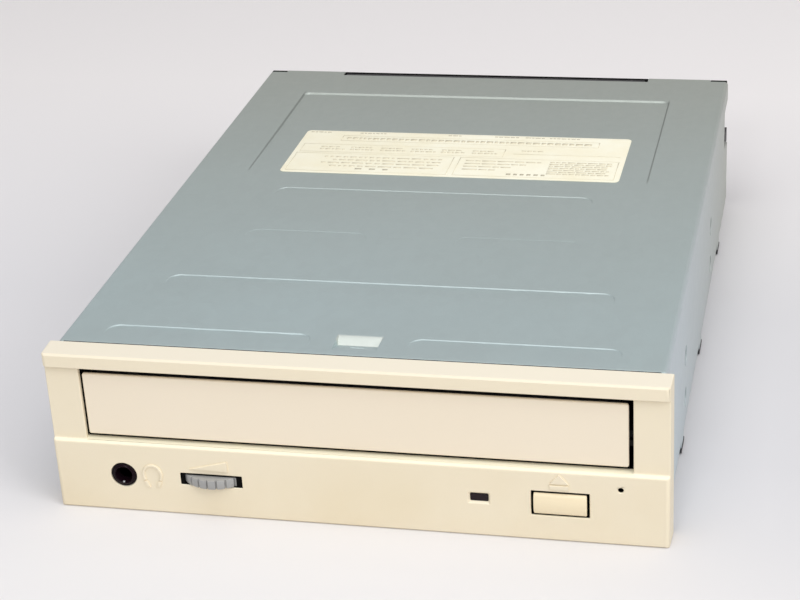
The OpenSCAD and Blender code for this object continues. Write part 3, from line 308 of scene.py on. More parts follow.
def galvanised():
    """Zinc-coated sheet: spangle, rolling streaks and scuffs, with painted light: a painted reflection that
    is bright grey-blue at the front and darker olive to the rear, paler side walls, painted shade in the
    creases of the label panel and a painted highlight on the catch's slope.
    """
    f = Finish("galvanised_sheet", srgb(184, 197, 198), 0.53, 0.62)
    # painted reflection: the top is bright grey-blue at the front and darker olive to the rear
    top_front_reflection, top_rear_reflection = srgb(191, 206, 207), srgb(181, 186, 178)
    # painted light: the side walls are paler than the top, and fade the same way to the rear
    wall_front_lit, wall_rear_lit = srgb(208, 218, 223), srgb(187, 190, 182)
    patch, spangle_dark, streak = srgb(167, 173, 166), srgb(150, 157, 157), srgb(196, 204, 205)
    # the second colour is painted shade for the panel's creases, the third a painted highlight for the
    # catch's slope
    scuff, crease_shade_colour, catch_highlight_colour = srgb(141, 147, 146), srgb(100, 103, 98), srgb(209, 215, 209)

    to_rear = f.remap(f.axis("Y"), -0.07, 0.1)
    patches = f.remap(f.noise(14, 3, 0.5), 0.3, 0.75)
    tone = f.mix(to_rear, top_front_reflection, top_rear_reflection)
    # painted light on the side walls of the cover
    walls = f.remap(f.math("ABSOLUTE", f.axis("X")), 0.0719, 0.0729)
    tone = f.mix(walls, tone, f.mix(to_rear, wall_front_lit, wall_rear_lit))
    tone = f.mix(f.math("MULTIPLY", patches, 0.18), tone, patch)

    spangle = f.add("ShaderNodeTexVoronoi", Scale=420)
    f.link(f.stretched(1.0, 0.7, 1.0), spangle.inputs["Vector"])
    grey = f.add("ShaderNodeRGBToBW")
    f.link(spangle.outputs["Color"], grey.inputs["Color"])
    tone = f.mix(f.remap(grey.outputs["Val"], 0.1, 0.9, 0.0, 0.05), tone, spangle_dark)
    streaks = f.noise(900, 3, 0.6, f.stretched(1.0, 0.02, 1.0))
    tone = f.mix(f.remap(streaks, 0.4, 0.75, 0.0, 0.05), tone, streak)
    scuffs = f.noise(260, 5, 0.65, f.stretched(0.15, 1.0, 1.0))
    tone = f.mix(f.remap(scuffs, 0.66, 0.78, 0.0, 0.14), tone, scuff)

    # painted shade: a dark line at the foot of each side of the label panel
    creases = []
    for side in (-1, 1):
        foot = side * (PANEL_HALF - CREASE_IN)
        creases.append(between(f, "X", foot - CREASE_HALF, foot + CREASE_HALF, 0.2))
    along = between_y(f, PANEL_FRONT + 3, PANEL_REAR - 1.5, 3.0)
    on_top = f.remap(f.axis("Z"), 0.038, 0.039)
    crease_shade_mask = f.math("MULTIPLY", f.math("MAXIMUM", *creases), f.math("MULTIPLY", along, on_top))
    tone = f.mix(f.math("MULTIPLY", crease_shade_mask, 0.5), tone, crease_shade_colour)
    # painted highlight: a paler tone on the catch's rear slope
    across = between(f, "X", CATCH_X - CATCH_HALF, CATCH_X + CATCH_HALF, 0.3)
    slope = between_y(f, CATCH_REAR - CATCH_RUN, CATCH_REAR - 0.7, 0.5)
    catch_highlight_mask = f.math("MULTIPLY", across, f.math("MULTIPLY", slope, on_top))
    f.colour(f.mix(catch_highlight_mask, tone, catch_highlight_colour))
    f.gloss(320, 0.5, 0.58)
    f.bump(f.noise(2400, 3), 0.08, 0.02)
    return f.material


def bright_steel(name, colour, roughness):
    f = Finish(name, colour, roughness, 1.0)
    lines = f.noise(2600, 3, 0.6, f.stretched(1.0, 1.0, 0.08))
    f.colour(f.mix(f.remap(lines, 0.35, 0.7, 0.0, 0.3), colour, srgb(120, 120, 122)))
    f.gloss(900, roughness - 0.06, roughness + 0.10)
    f.bump(lines, 0.12, 0.01)
    return f.material


def satin(name, colour, shade, roughness, grain=0.02, specular=None):
    """Plain moulded plastic or rubber: a soft cloud of a second tone and a fine grain."""
    f = Finish(name, colour, roughness)
    f.colour(f.mix(f.remap(f.noise(110, 4), 0.3, 0.75, 0.0, 0.6), colour, shade))
    f.gloss(700, roughness - 0.05, roughness + 0.08)
    f.bump(f.noise(5200, 2), 0.3, grain)
    if specular is not None:
        f.set("Specular IOR Level", specular)
    return f.material


def paper():
    f = Finish("label_paper", srgb(254, 249, 226), 0.62)
    clouds = f.remap(f.noise(60, 4), 0.35, 0.7)
    tone = f.mix(clouds, srgb(255, 251, 230), srgb(250, 242, 213))
    fibres = f.noise(3800, 3, 0.6, f.stretched(0.3, 1.0, 1.0))
    f.colour(f.mix(f.remap(fibres, 0.5, 0.8, 0.0, 0.12), tone, srgb(205, 194, 158)))
    f.bump(fibres, 0.15, 0.01)
    return f.material


def solder_mask():
    """Green lacquer over copper tracks that run both ways across the board."""
    f = Finish("solder_mask", srgb(38, 96, 58), 0.36)
    tracks = []
    for turn in ((1.0, 0.12, 1.0), (0.12, 1.0, 1.0)):
        cells = f.add("ShaderNodeTexVoronoi", Scale=420)
        cells.feature = "DISTANCE_TO_EDGE"
        f.link(f.stretched(*turn), cells.inputs["Vector"])
        tracks.append(f.remap(cells.outputs["Distance"], 0.04, 0.09, 1.0, 0.0))
    lines = f.math("MAXIMUM", *tracks)
    base = f.mix(f.remap(f.noise(45, 3), 0.35, 0.7), srgb(36, 92, 56), srgb(30, 80, 52))
    f.colour(f.mix(f.math("MULTIPLY", lines, 0.6), base, srgb(74, 140, 84)))
    f.bump(lines, 0.4, 0.03)
    f.set("Coat Weight", 0.3)
    f.set("Coat Roughness", 0.2)
    return f.material


def ribbon_film():
    """White film with flat conductors side by side across it."""
    f = Finish("ribbon_film", srgb(226, 226, 216), 0.4)
    wave = f.add("ShaderNodeTexWave", Scale=160.0, Distortion=0.0, Detail=0.0)
    wave.bands_direction = "X"
    f.link(f.coords, wave.inputs["Vector"])
    conductors = f.remap(wave.outputs["Fac"], 0.4, 0.6, 0.0, 0.35)
    f.colour(f.mix(conductors, srgb(228, 228, 218), srgb(168, 170, 168)))
    f.bump(wave.outputs["Fac"], 0.3, 0.05)
    return f.material


def lens_glass():
    f = Finish("lens_glass", srgb(205, 214, 238), 0.04)
    f.set("Transmission Weight", 0.7)
    f.set("IOR", 1.5)
    f.set("Coat Weight", 0.6)
    f.set("Coat Tint", srgb(160, 150, 240))
    clouds = f.remap(f.noise(900, 2), 0.4, 0.7, 0.0, 0.15)
    f.colour(f.mix(clouds, srgb(205, 214, 238), srgb(180, 176, 236)))
    return f.material


def smoked():
    f = Finish("smoked_window", srgb(40, 26, 33), 0.2)
    f.colour(f.mix(f.remap(f.noise(900, 3), 0.35, 0.7), srgb(36, 22, 29), srgb(26, 16, 21)))
    f.gloss(1500, 0.16, 0.28)
    f.set("Specular IOR Level", 0.2)
    return f.material


CREAM_FRESH, CREAM_AGED = srgb(241, 229, 203), srgb(231, 214, 178)
# painted light for faces of the bezel that look up: the first tone low down, the second high up
PAINTED_TOP_LIGHT = srgb(255, 248, 222), srgb(241, 232, 212)
CREAM = moulded("cream_abs", CREAM_FRESH, CREAM_AGED, 0.46)
BEZEL = moulded("bezel_abs", CREAM_FRESH, CREAM_AGED, 0.46, gaps=control_gap_shade, top_light=PAINTED_TOP_LIGHT)
DOOR_CREAM = moulded("door_abs", srgb(243, 230, 208), srgb(236, 220, 190), 0.44)
BUTTON_CREAM = moulded("button_abs", srgb(246, 230, 196), srgb(238, 218, 178), 0.40, gaps=button_side_shade)
ZINC = galvanised()
PAPER = paper()
INK = satin("label_ink", srgb(238, 229, 201), srgb(231, 222, 194), 0.7)
DARK_INK = satin("label_dark_ink", srgb(206, 198, 174), srgb(194, 186, 163), 0.7)
BLACK = satin("black_abs", srgb(30, 30, 32), srgb(40, 40, 43), 0.42)
TRAY = satin("tray_abs", srgb(44, 44, 47), srgb(54, 54, 57), 0.40, 0.03)
WHITE = satin("white_acetal", srgb(226, 225, 214), srgb(212, 210, 196), 0.38)
GREY = satin("grey_abs", srgb(166, 166, 164), srgb(152, 151, 150), 0.42)
JACK = satin("jack_nylon", srgb(20, 9, 15), srgb(30, 15, 23), 0.14, specular=0.09)
MATT = satin("matt_black", srgb(9, 8, 8), srgb(15, 14, 14), 0.85, specular=0.08)
SMOKED = smoked()
STEEL = bright_steel("bright_steel", srgb(196, 197, 199), 0.28)
BOARD = solder_mask()
CHIP = satin("chip_epoxy", srgb(34, 34, 36), srgb(46, 46, 48), 0.55)
BRASS = bright_steel("plated_brass", srgb(222, 186, 104), 0.26)
RUBBER = satin("black_rubber", srgb(26, 26, 27), srgb(38, 38, 38), 0.72, 0.03)
LENS = lens_glass()
RIBBON = ribbon_film()

SLOT_FINISH = {
    "galvanised": ZINC, "label": PAPER, "cream_plastic": CREAM, "black_plastic": BLACK,
    "tray_plastic": TRAY, "white_plastic": WHITE, "grey_plastic": GREY, "jack_plastic": JACK,
    "smoked": SMOKED, "steel": STEEL, "board": BOARD, "chip": CHIP, "contact": BRASS,
    "rubber": RUBBER, "lens": LENS, "ribbon": RIBBON,
}


# helpers that make pieces


def new_object(name, mesh, finish, body, stands_for=None, sharp=35):
    obj = bpy.data.objects.new(name, mesh)
    scene.collection.objects.link(obj)
    mesh.materials.clear()
    mesh.materials.append(finish)
    mesh.polygons.foreach_set("use_smooth", [True] * len(mesh.polygons))
    mesh.set_sharp_from_angle(angle=math.radians(sharp))
    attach(obj, body)
    if stands_for:
        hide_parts(stands_for)
    return obj


def mesh_of(name, points, faces):
    mesh = bpy.data.meshes.new(name)
    mesh.from_pydata([place(*p) for p in points], [], faces)
    mesh.update()
    return mesh


def closed(mesh):
    """Joins points that meet and turns every face outward."""
    work = bmesh.new()
    work.from_mesh(mesh)
    bmesh.ops.remove_doubles(work, verts=work.verts, dist=JOIN_MM * MM)
    bmesh.ops.recalc_face_normals(work, faces=work.faces)
    work.to_mesh(mesh)
    work.free()
    return mesh


def flat_faces(obj):
    """Keeps large flat faces flat beside their rounded edges."""
    obj.modifiers.new("flat", "WEIGHTED_NORMAL").keep_sharp = True


def filled(outlines, thick, edge, where, name):
    """A plate from closed outlines in u and v, holes included, with rounded edges.

    where() gives the place of a point from u, v and its height w over the middle of the plate.
    """
    curve = bpy.data.curves.new(name, "CURVE")
    curve.dimensions = "2D"
    curve.fill_mode = "BOTH"
    curve.extrude = thick / 2 - edge
    curve.bevel_depth = edge
    curve.bevel_resolution = 2
    curve.offset = -edge
    for points in outlines:
        spline = curve.splines.new("POLY")
        spline.points.add(len(points) - 1)
        for point, (u, v) in zip(spline.points, points):
            point.co = (u, v, 0, 1)
        spline.use_cyclic_u = True
    holder = bpy.data.objects.new(name, curve)
    scene.collection.objects.link(holder)
    bpy.context.view_layer.update()
    mesh = bpy.data.meshes.new_from_object(holder.evaluated_get(bpy.context.evaluated_depsgraph_get()))
    bpy.data.objects.remove(holder)
    bpy.data.curves.remove(curve)
    work = bmesh.new()
    work.from_mesh(mesh)
    bmesh.ops.remove_doubles(work, verts=work.verts, dist=JOIN_MM)
    for vert in work.verts:
        vert.co = place(*where(*vert.co))
    bmesh.ops.recalc_face_normals(work, faces=work.faces)
    work.to_mesh(mesh)
    work.free()
    mesh.name = name
    return mesh


def rounded(u0, u1, v0, v1, r, steps=6):
    """Outline of a rectangle with round corners."""
    corners = ((u1 - r, v1 - r, 0), (u0 + r, v1 - r, 90), (u0 + r, v0 + r, 180), (u1 - r, v0 + r, 270))
    turns = [90 * i / steps for i in range(steps + 1)]
    points = []
    for u, v, start in corners:
        for turn in turns:
            a = math.radians(start + turn)
            points.append((u + r * math.cos(a), v + r * math.sin(a)))
    return points


def ring(u, v, r, n=40):
    """Outline of a circle."""
    turns = [2 * math.pi * k / n for k in range(n)]
    return [(u + r * math.cos(a), v + r * math.sin(a)) for a in turns]


def revolved(name, profile, centre, axis, n=64):
    """A profile of (radius, height) turned round an axis through centre."""
    points, faces = [], []
    for r, h in profile:
        for k in range(n):
            a = 2 * math.pi * k / n
            u, v = r * math.cos(a), r * math.sin(a)
            offset = (u, v, h) if axis == "z" else (u, h, -v)
            points.append([c + o for c, o in zip(centre, offset)])
    for i in range(len(profile) - 1):
        for k in range(n):
            j = (k + 1) % n
            faces.append((i * n + k, i * n + j, (i + 1) * n + j, (i + 1) * n + k))
    return closed(mesh_of(name, points, faces))


# pressed steel cover


def smooth(t):
    t = np.clip(t, 0, 1)
    return t * t * (3 - 2 * t)


def inside_round(x, y, x0, x1, y0, y1, r):
    """Distance in from the edge of a round-cornered rectangle, negative outside."""
    qx = np.abs(x - (x0 + x1) / 2) - (x1 - x0) / 2 + r
    qy = np.abs(y - (y0 + y1) / 2) - (y1 - y0) / 2 + r
    corner = np.hypot(np.maximum(qx, 0), np.maximum(qy, 0))
    return r - corner - np.minimum(np.maximum(qx, qy), 0)


def pressed(x, y):
    """How far the press has pushed the top of the cover down: each bead is deepest at its rear edge."""
    depth = 0.0
    waver = 1 + BEAD_WAVER * math.sin(1.7 * x + 0.9 * y) * math.sin(0.61 * x + 2.0)
    for x0, x1, rear, deepest in BEADS:
        inner = inside_round(x, y, x0, x1, rear - 2 * BEAD_RUN, rear, BEAD_CORNER)
        run = smooth((y - rear + BEAD_RUN) / BEAD_RUN)
        depth = max(depth, deepest * waver * smooth(inner / BEAD_SLOPE) * run)
    open_front = PANEL_FRONT - PANEL_OPEN
    inner = inside_round(x, y, -PANEL_HALF, PANEL_HALF, open_front, PANEL_REAR, PANEL_CORNER)
    ramp = np.clip((y - PANEL_FRONT) / (RAMP_END - PANEL_FRONT), 0, 1)
    depth = max(depth, PANEL_DEPTH * smooth(inner / PANEL_SLOPE) * ramp)
    floor = (y - CATCH_FRONT) / (CATCH_REAR - CATCH_RUN - CATCH_FRONT)
    sides = (CATCH_HALF - abs(x - CATCH_X)) / CATCH_SIDE
    catch = min(floor, catch_fall((CATCH_REAR - y) / CATCH_RUN), sides)
    ends = min(x - SLIT_X0, SLIT_X1 - x) / SLIT_SIDE
    slit = min((SLIT_Y1 - y) / SLIT_RUN, (y - SLIT_Y0) / SLIT_LIP, ends)
    return float(max(depth, CATCH_DEPTH * np.clip(catch, 0, 1) + SLIT_DEPTH * np.clip(slit, 0, 1)))


def catch_fall(t):
    """Share of the catch's depth at share t of its rear slope, which starts with a soft round."""
    steep = 1 / (1 - CATCH_ROUND / 2)
    t = np.clip(t, 0, 1)
    return steep * (t * t / (2 * CATCH_ROUND) if t < CATCH_ROUND else t - CATCH_ROUND / 2)


class Plan:
    """Lines drawn on the flat top of the cover, which its triangles must follow."""

    def __init__(self):
        self.points, self.edges = [], []

    def line(self, points, loop=False):
        first = len(self.points)
        self.points += [Vector(p) for p in points]
        steps = [(first + i, first + i + 1) for i in range(len(points) - 1)]
        self.edges += steps + ([(first + len(points) - 1, first)] if loop else [])

    def bead(self, x0, x1, rear, stops, corner=BEAD_CORNER, slope=BEAD_SLOPE):
        """Nested lines round the sides and rear of a pressed shape, and lines across it at each stop."""
        turns = [math.radians(a) for a in range(180, 89, -10)]
        for part in (0, 1 / 3, 2 / 3, 1):
            inset = part * slope
            r = corner - inset
            left = [(x0 + inset, y) for y in stops]
            left += [(x0 + corner + r * math.cos(a), rear - corner + r * math.sin(a)) for a in turns]
            straight = x1 - x0 - 2 * corner
            steps = round(straight / BEAD_CELL)
            along = [x0 + corner + straight * k / steps for k in range(1, steps)]
            right = [(x0 + x1 - x, y) for x, y in reversed(left)]
            self.line(left + [(x, rear - inset) for x in along] + right)
        for y in stops:
            self.line([(x0 + slope, y), (x1 - slope, y)])

    def triangles(self, outline):
        self.line(outline, True)
        points, _, faces, *_ = delaunay_2d_cdt(self.points, self.edges, [], 1, 1e-5)
        return points, faces


def in_cover(x, y):
    """Whether the flat sheet of the top has metal here: its rear is notched between two tabs."""
    return y < NOTCH_REAR or abs(x) > NOTCH_HALF


def cover_top():
    """The top sheet with its beads, side bends, and the rear tabs that turn down over the rear panel."""
    flat = COVER_HALF - BEND_R
    plan = Plan()
    for x0, x1, rear, _ in BEADS:
        plan.bead(x0, x1, rear, (rear - BEAD_RUN + BEAD_START, *(rear - stop for stop in BEAD_STOPS)))
    plan.bead(-PANEL_HALF, PANEL_HALF, PANEL_REAR, PANEL_STOPS, PANEL_CORNER, PANEL_SLOPE)
    left, right = CATCH_X - CATCH_HALF, CATCH_X + CATCH_HALF
    for part in CATCH_STOPS:
        y = CATCH_REAR - part * CATCH_RUN
        inset = CATCH_SIDE * float(catch_fall(part))
        x0, x1 = left + inset, right - inset
        plan.line([(x0, CATCH_FRONT), (x0, y), (x1, y), (x1, CATCH_FRONT)])
    plan.line([(left, CATCH_FRONT), (right, CATCH_FRONT)])
    for inset in (0, 1):
        x0, x1 = SLIT_X0 + SLIT_SIDE * inset, SLIT_X1 - SLIT_SIDE * inset
        y0, y1 = SLIT_Y0 + SLIT_LIP * inset, SLIT_Y1 - SLIT_RUN * inset
        plan.line([(x0, y0), (x1, y0), (x1, y1), (x0, y1)], True)
    front = [(-flat, COVER_FRONT), (flat, COVER_FRONT)]
    rear = [(x, COVER_REAR) for x in (flat, TAB_OUTER, NOTCH_HALF)] + [(NOTCH_HALF, NOTCH_REAR)]
    outline = front + rear + [(-x, y) for x, y in reversed(rear)]
    flat_points, triangles = plan.triangles(outline)
    points = [(p.x, p.y, COVER_TOP - pressed(p.x, p.y)) for p in flat_points]
    faces = []
    for face in triangles:
        middle = sum((flat_points[v] for v in face), Vector((0, 0))) / len(face)
        if in_cover(middle.x, middle.y):
            faces.append(tuple(face))
    quarter = [math.radians(a) for a in (15, 30, 45, 60, 75, 90)]
    side = [(BEND_R * math.sin(a), BEND_R * (1 - math.cos(a))) for a in quarter]
    out = TAB_REAR - TAB_BEND_R - COVER_REAR
    tab = [(out, 0.0)] + [(out + TAB_BEND_R * math.sin(a), TAB_BEND_R * (1 - math.cos(a))) for a in quarter]
    tab.append((TAB_REAR - COVER_REAR, COVER_TOP - TAB_BOTTOM))

    def strip(ends, steps, towards):
        first = len(points)
        for far, drop in [(0.0, 0.0)] + steps:
            points.extend((x + towards[0] * far, y + towards[1] * far, COVER_TOP - drop) for x, y in ends)
        for i in range(len(steps)):
            faces.append(tuple(first + 2 * i + k for k in (0, 1, 3, 2)))

    for sign in (-1, 1):
        strip(((sign * flat, COVER_FRONT), (sign * flat, COVER_REAR))[::sign], side, (sign, 0))
        strip(((sign * NOTCH_HALF, COVER_REAR), (sign * TAB_OUTER, COVER_REAR))[::-sign], tab, (0, 1))
    mesh = mesh_of("cover_top", points, faces)
    work = bmesh.new()
    work.from_mesh(mesh)
    bmesh.ops.remove_doubles(work, verts=work.verts, dist=2 * JOIN_MM * MM)
    bmesh.ops.delete(work, geom=[v for v in work.verts if not v.link_faces], context="VERTS")
    bmesh.ops.recalc_face_normals(work, faces=work.faces)
    if sum(f.normal.z * f.calc_area() for f in work.faces) < 0:
        bmesh.ops.reverse_faces(work, faces=work.faces)
    work.to_mesh(mesh)
    work.free()
    obj = new_object("cover_top", mesh, ZINC, "chassis", "top_cover", 30)
    wall = obj.modifiers.new("sheet", "SOLIDIFY")
    wall.thickness = SHEET * MM
    wall.offset = -1
    flat_faces(obj)


def cover_side(sign):
    """Side wall of the cover, with its bay holes, the rear notch and the hooks along its lower edge."""
    top = COVER_TOP - BEND_R
    outline = [(COVER_FRONT, top), (COVER_FRONT, SIDE_LOW)]
    for hook in HOOKS:
        end = hook + HOOK_LENGTH
        outline += [(hook, SIDE_LOW), (hook + HOOK_SLANT, HOOK_LOW)]
        outline += [(end - HOOK_SLANT, HOOK_LOW), (end, SIDE_LOW)]
    outline += [(COVER_REAR, SIDE_LOW), (COVER_REAR, EAR_LOW)]
    outline += [(EAR_FRONT, EAR_LOW), (EAR_FRONT, SIDE_NOTCH_LOW)]
    outline += [(SIDE_NOTCH_FRONT, SIDE_NOTCH_LOW), (SIDE_NOTCH_FRONT, SIDE_NOTCH_HIGH)]
    outline += [(COVER_REAR, SIDE_NOTCH_HIGH), (COVER_REAR, top)]
    holes = [ring(y, z, BAY_HOLE_R) for y in BAY_HOLES_Y for z in BAY_HOLES_Z]
    middle = COVER_HALF - SIDE_T / 2

    def upright(u, v, w):
        return sign * (middle + w), u, v

    mesh = filled([outline] + holes, SIDE_T, SIDE_EDGE, upright, "cover_side")
    flat_faces(new_object("cover_side_" + SIDE_NAMES[sign], mesh, ZINC, "chassis"))


def hook_gap_shade(sign):
    """Black strips below the hooks of a side wall, standing for the dark gaps there: painted shade."""
    over, low, high, corner = 0.8, 0.35, 1.25, 0.3
    thick, edge, middle = 0.9, 0.15, 72.7
    outlines = [rounded(hook - over, hook + HOOK_LENGTH + over, low, high, corner) for hook in HOOKS]
    mesh = filled(outlines, thick, edge, lambda u, v, w: (sign * (middle + w), u, v), "hook_gap_shade")
    flat_faces(new_object("hook_gap_shade_" + SIDE_NAMES[sign], mesh, BLACK, "chassis"))


def rear_lip():
    """Top edge of the black rear moulding, behind the notch of the cover and at its two corners."""
    low, high, corner = 36.6, 41.45, 0.2
    thick, edge, middle = 2.0, 0.1, 192.1
    notch, inner, outer = NOTCH_HALF - 0.1, TAB_OUTER + 0.1, COVER_HALF - 0.4
    spans = ((-notch, notch), (-outer, -inner), (inner, outer))
    outlines = [rounded(x0, x1, low, high, corner) for x0, x1 in spans]
    mesh = filled(outlines, thick, edge, lambda u, v, w: (u, middle + w, v), "rear_lip")
    flat_faces(new_object("rear_lip", mesh, MATT, "chassis"))


def rear_ribs():
    """Moulded frames, each with three stiffening ribs, on the outside of the black rear panel."""
    low, high = (Vector(corner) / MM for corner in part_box("rear_panel"))
    ears = 0.9  # the ears at the panel's corners stand this far behind its face
    thick, edge, middle = 0.8, 0.12, high.y + Y_MID - ears + 0.2
    z0, z1 = low.z + 2.0, 33.4
    half, rim, corner, inner_corner, frame_pitch = 20, 1.2, 1.5, 0.9, 43
    rib_half, rib_clear, rib_corner, rib_pitch = 0.5, 2.2, 0.4, 9
    outlines = []
    for x in (-frame_pitch, 0, frame_pitch):
        inner = half - rim
        outlines.append(rounded(x - half, x + half, z0, z1, corner))
        outlines.append(rounded(x - inner, x + inner, z0 + rim, z1 - rim, inner_corner))
        for rib in (x - rib_pitch, x, x + rib_pitch):
            x0, x1 = rib - rib_half, rib + rib_half
            outlines.append(rounded(x0, x1, z0 + rib_clear, z1 - rib_clear, rib_corner))
    mesh = filled(outlines, thick, edge, lambda u, v, w: (u, middle + w, v), "rear_ribs")
    flat_faces(new_object("rear_ribs", mesh, BLACK, "chassis"))


def mouth_gap_shade():
    """Thin matt black strips on the two side walls of the tray's mouth, beside the door, standing for the
    shade deep in that gap: painted shade.
    """
    half, wide, front, rear, corner = 65.98, 0.2, -4.85, -3.85, 0.06
    tall, edge, middle = 18.2, 0.05, 28.35
    outlines = [rounded(x0, x0 + wide, front, rear, corner) for x0 in (-half, half - wide)]
    mesh = filled(outlines, tall, edge, lambda u, v, w: (u, v, middle + w), "mouth_gap_shade")
    flat_faces(new_object("mouth_gap_shade", mesh, MATT, "chassis"))


def front_joint_shade():
    """Thin matt black strip in the joint between the cover and the bezel, standing for the shadow in that
    gap: painted shade.
    """
    front, rear, low, high, corner = 0.1, COVER_FRONT - 0.05, 40.6, 41.5, 0.15
    wide, edge = 143.0, 0.1
    strip = rounded(front, rear, low, high, corner)
    mesh = filled([strip], wide, edge, lambda u, v, w: (w, u, v), "front_joint_shade")
    flat_faces(new_object("front_joint_shade", mesh, MATT, "chassis"))


cover_top()
for side in (-1, 1):
    cover_side(side)
    hook_gap_shade(side)
rear_lip()
rear_ribs()
mouth_gap_shade()
front_joint_shade()


# paper label with ruled lines, and no wording


def label_z(y):
    """The label lies on the ramp of its panel."""
    return COVER_TOP - float(pressed(0.0, y))


def on_label(u, v, w):
    return u + LABEL_X, v, label_z(v) + LABEL_T / 2 + w


label_outline = rounded(-LABEL_HALF, LABEL_HALF, LABEL_Y0, LABEL_Y1, LABEL_CORNER)
label = filled([label_outline], LABEL_T, LABEL_EDGE, on_label, "label_paper")
new_object("label_paper", label, PAPER, "chassis", "cover_label")


class Print:
    """Plain bars in pale ink, a hair above the paper."""

    def __init__(self, name, finish):
        self.name, self.finish, self.bars = name, finish, []

    def bar(self, x0, x1, y0, y1):
        self.bars.append((x0, x1, y0, y1))

    def box(self, x0, x1, y0, y1, w=0.2):
        self.bar(x0, x1, y0, y0 + w)
        self.bar(x0, x1, y1 - w, y1)
        self.bar(x0, x0 + w, y0 + w, y1 - w)
        self.bar(x1 - w, x1, y0 + w, y1 - w)

    def row(self, rng, x0, x1, y, h, shortest, longest, gap):
        x = x0
        while x < x1 - shortest:
            end = min(x + rng.uniform(shortest, longest), x1)
            self.bar(x, end, y, y + h)
            x = end + gap

    def done(self):
        points, faces = [], []
        for x0, x1, y0, y1 in self.bars:
            first = len(points)
            for x, y in ((x0, y0), (x1, y0), (x1, y1), (x0, y1)):
                points.append((x + LABEL_X, y, label_z(y) + LABEL_T + INK_LIFT))
            faces.append((first, first + 1, first + 2, first + 3))
        obj = new_object(self.name, mesh_of(self.name, points, faces), self.finish, "chassis")
        film = obj.modifiers.new("film", "SOLIDIFY")
        film.thickness = INK_T * MM
        film.offset = -1


# height, shortest bar, longest bar and gap of each kind of row
HEADING = 0.5, 0.6, 1.6, 0.35
SCALE = 1.5, 0.7, 2.2, 0.5
CELL = 0.8, 0.6, 2.0, 0.4
SHORT_LINE = 0.7, 0.8, 2.0, 0.4
LEFT_LINE = 0.8, 0.8, 4.0, 0.7
RIGHT_LINE = 0.7, 1.0, 4.5, 0.5
FINE_LINE = 0.75, 0.8, 3.0, 0.4
BLOCKS = 1.1, 0.9, 1.3, 0.8
SPOTS = 0.9, 1.4, 2.0, 2.2
# left and right end of each heading along the rear edge, and the front of that row
HEADINGS = ((-47, -40), (-32, -23.5), (-5.4, -0.6), (8.5, 15.5), (17.5, 23.3), (24.6, 33.4))
HEADING_Y = 140.9
# left, right, front and rear of each ruled box, and of the rule beside the cells
SCALE_BOX = -36.5, 39.6, 134.6, 138.9
CELL_BOX = -46.6, 13.4, 125.3, 131.6
LEFT_BOX = -47.0, -0.3, 110.5, 124.3
RIGHT_BOX = 1.4, 46.8, 110.5, 124.3
RULE = 16.0, 46.6, 127.9, 128.15


def label_print():
    """Ruled boxes and rows of plain bars, and no wording."""
    rng = random.Random(7)
    pale, dark = Print("label_print", INK), Print("label_dark_print", DARK_INK)
    for x0, x1 in HEADINGS:
        dark.row(rng, x0, x1, HEADING_Y, *HEADING)
    pale.box(*SCALE_BOX)
    pale.row(rng, -35, 38.5, 136.0, *SCALE)
    pale.box(*CELL_BOX)
    for x in range(-41, 10, 9):
        pale.row(rng, x, x + 7.4, 127.3, *CELL)
        pale.row(rng, x, x + 6.2, 129.0, *CELL)
    pale.bar(*RULE)
    pale.row(rng, 18.0, 25.0, 130.2, *SHORT_LINE)
    pale.box(*LEFT_BOX)
    pale.box(*RIGHT_BOX)
    for k in range(4):
        pale.row(rng, -38 + 3 * (k % 2), -3.5, 121.3 - 2.3 * k, *LEFT_LINE)
        pale.row(rng, 3.4, 25 - 4 * k, 121.5 - 2.2 * k, *RIGHT_LINE)
    for k in range(7):
        pale.row(rng, 27.5, 45.0, 122.0 - 1.45 * k, *FINE_LINE)
    dark.row(rng, 16.5, 29.0, 111.9, *BLOCKS)
    dark.row(rng, -27.0, -17.5, 112.4, *SPOTS)
    pale.done()
    dark.done()


label_print()


# tray door

low, high = (Vector(c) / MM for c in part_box("tray_door"))
DOOR_HALF, DOOR_Z0, DOOR_Z1 = high.x, low.z, high.z
DOOR_FACE, DOOR_SKIN, DOOR_BACK = low.y + Y_MID + 0.25, 1.0, -3.2
# the photo's door reaches further left and lower than the solid, and less high
DOOR_LEFT, DOOR_BELOW, DOOR_ABOVE, DOOR_CORNER = 0.5, 0.4, -0.35, 0.55
CORE_INSET, CORE_LAP = 1.6, 0.1


def door_plate(name, inset, y0, y1, edge, stands_for=None):
    """One layer of the door: an upright plate, inset from the outline of its face."""
    left, right = inset - DOOR_HALF - DOOR_LEFT, DOOR_HALF - inset
    outline = rounded(left, right, DOOR_Z0 - DOOR_BELOW + inset, DOOR_Z1 + DOOR_ABOVE - inset, DOOR_CORNER)
    mesh = filled([outline], y1 - y0, edge, lambda u, v, w: (u, (y0 + y1) / 2 + w, v), name)
    flat_faces(new_object(name, mesh, DOOR_CREAM, "tray", stands_for))


door_plate("door_skin", 0.0, DOOR_FACE, DOOR_FACE + DOOR_SKIN, 0.35, "tray_door")
door_plate("door_core", CORE_INSET, DOOR_FACE + DOOR_SKIN - CORE_LAP, DOOR_BACK, 0.2)


# eject button, crowned from top to bottom


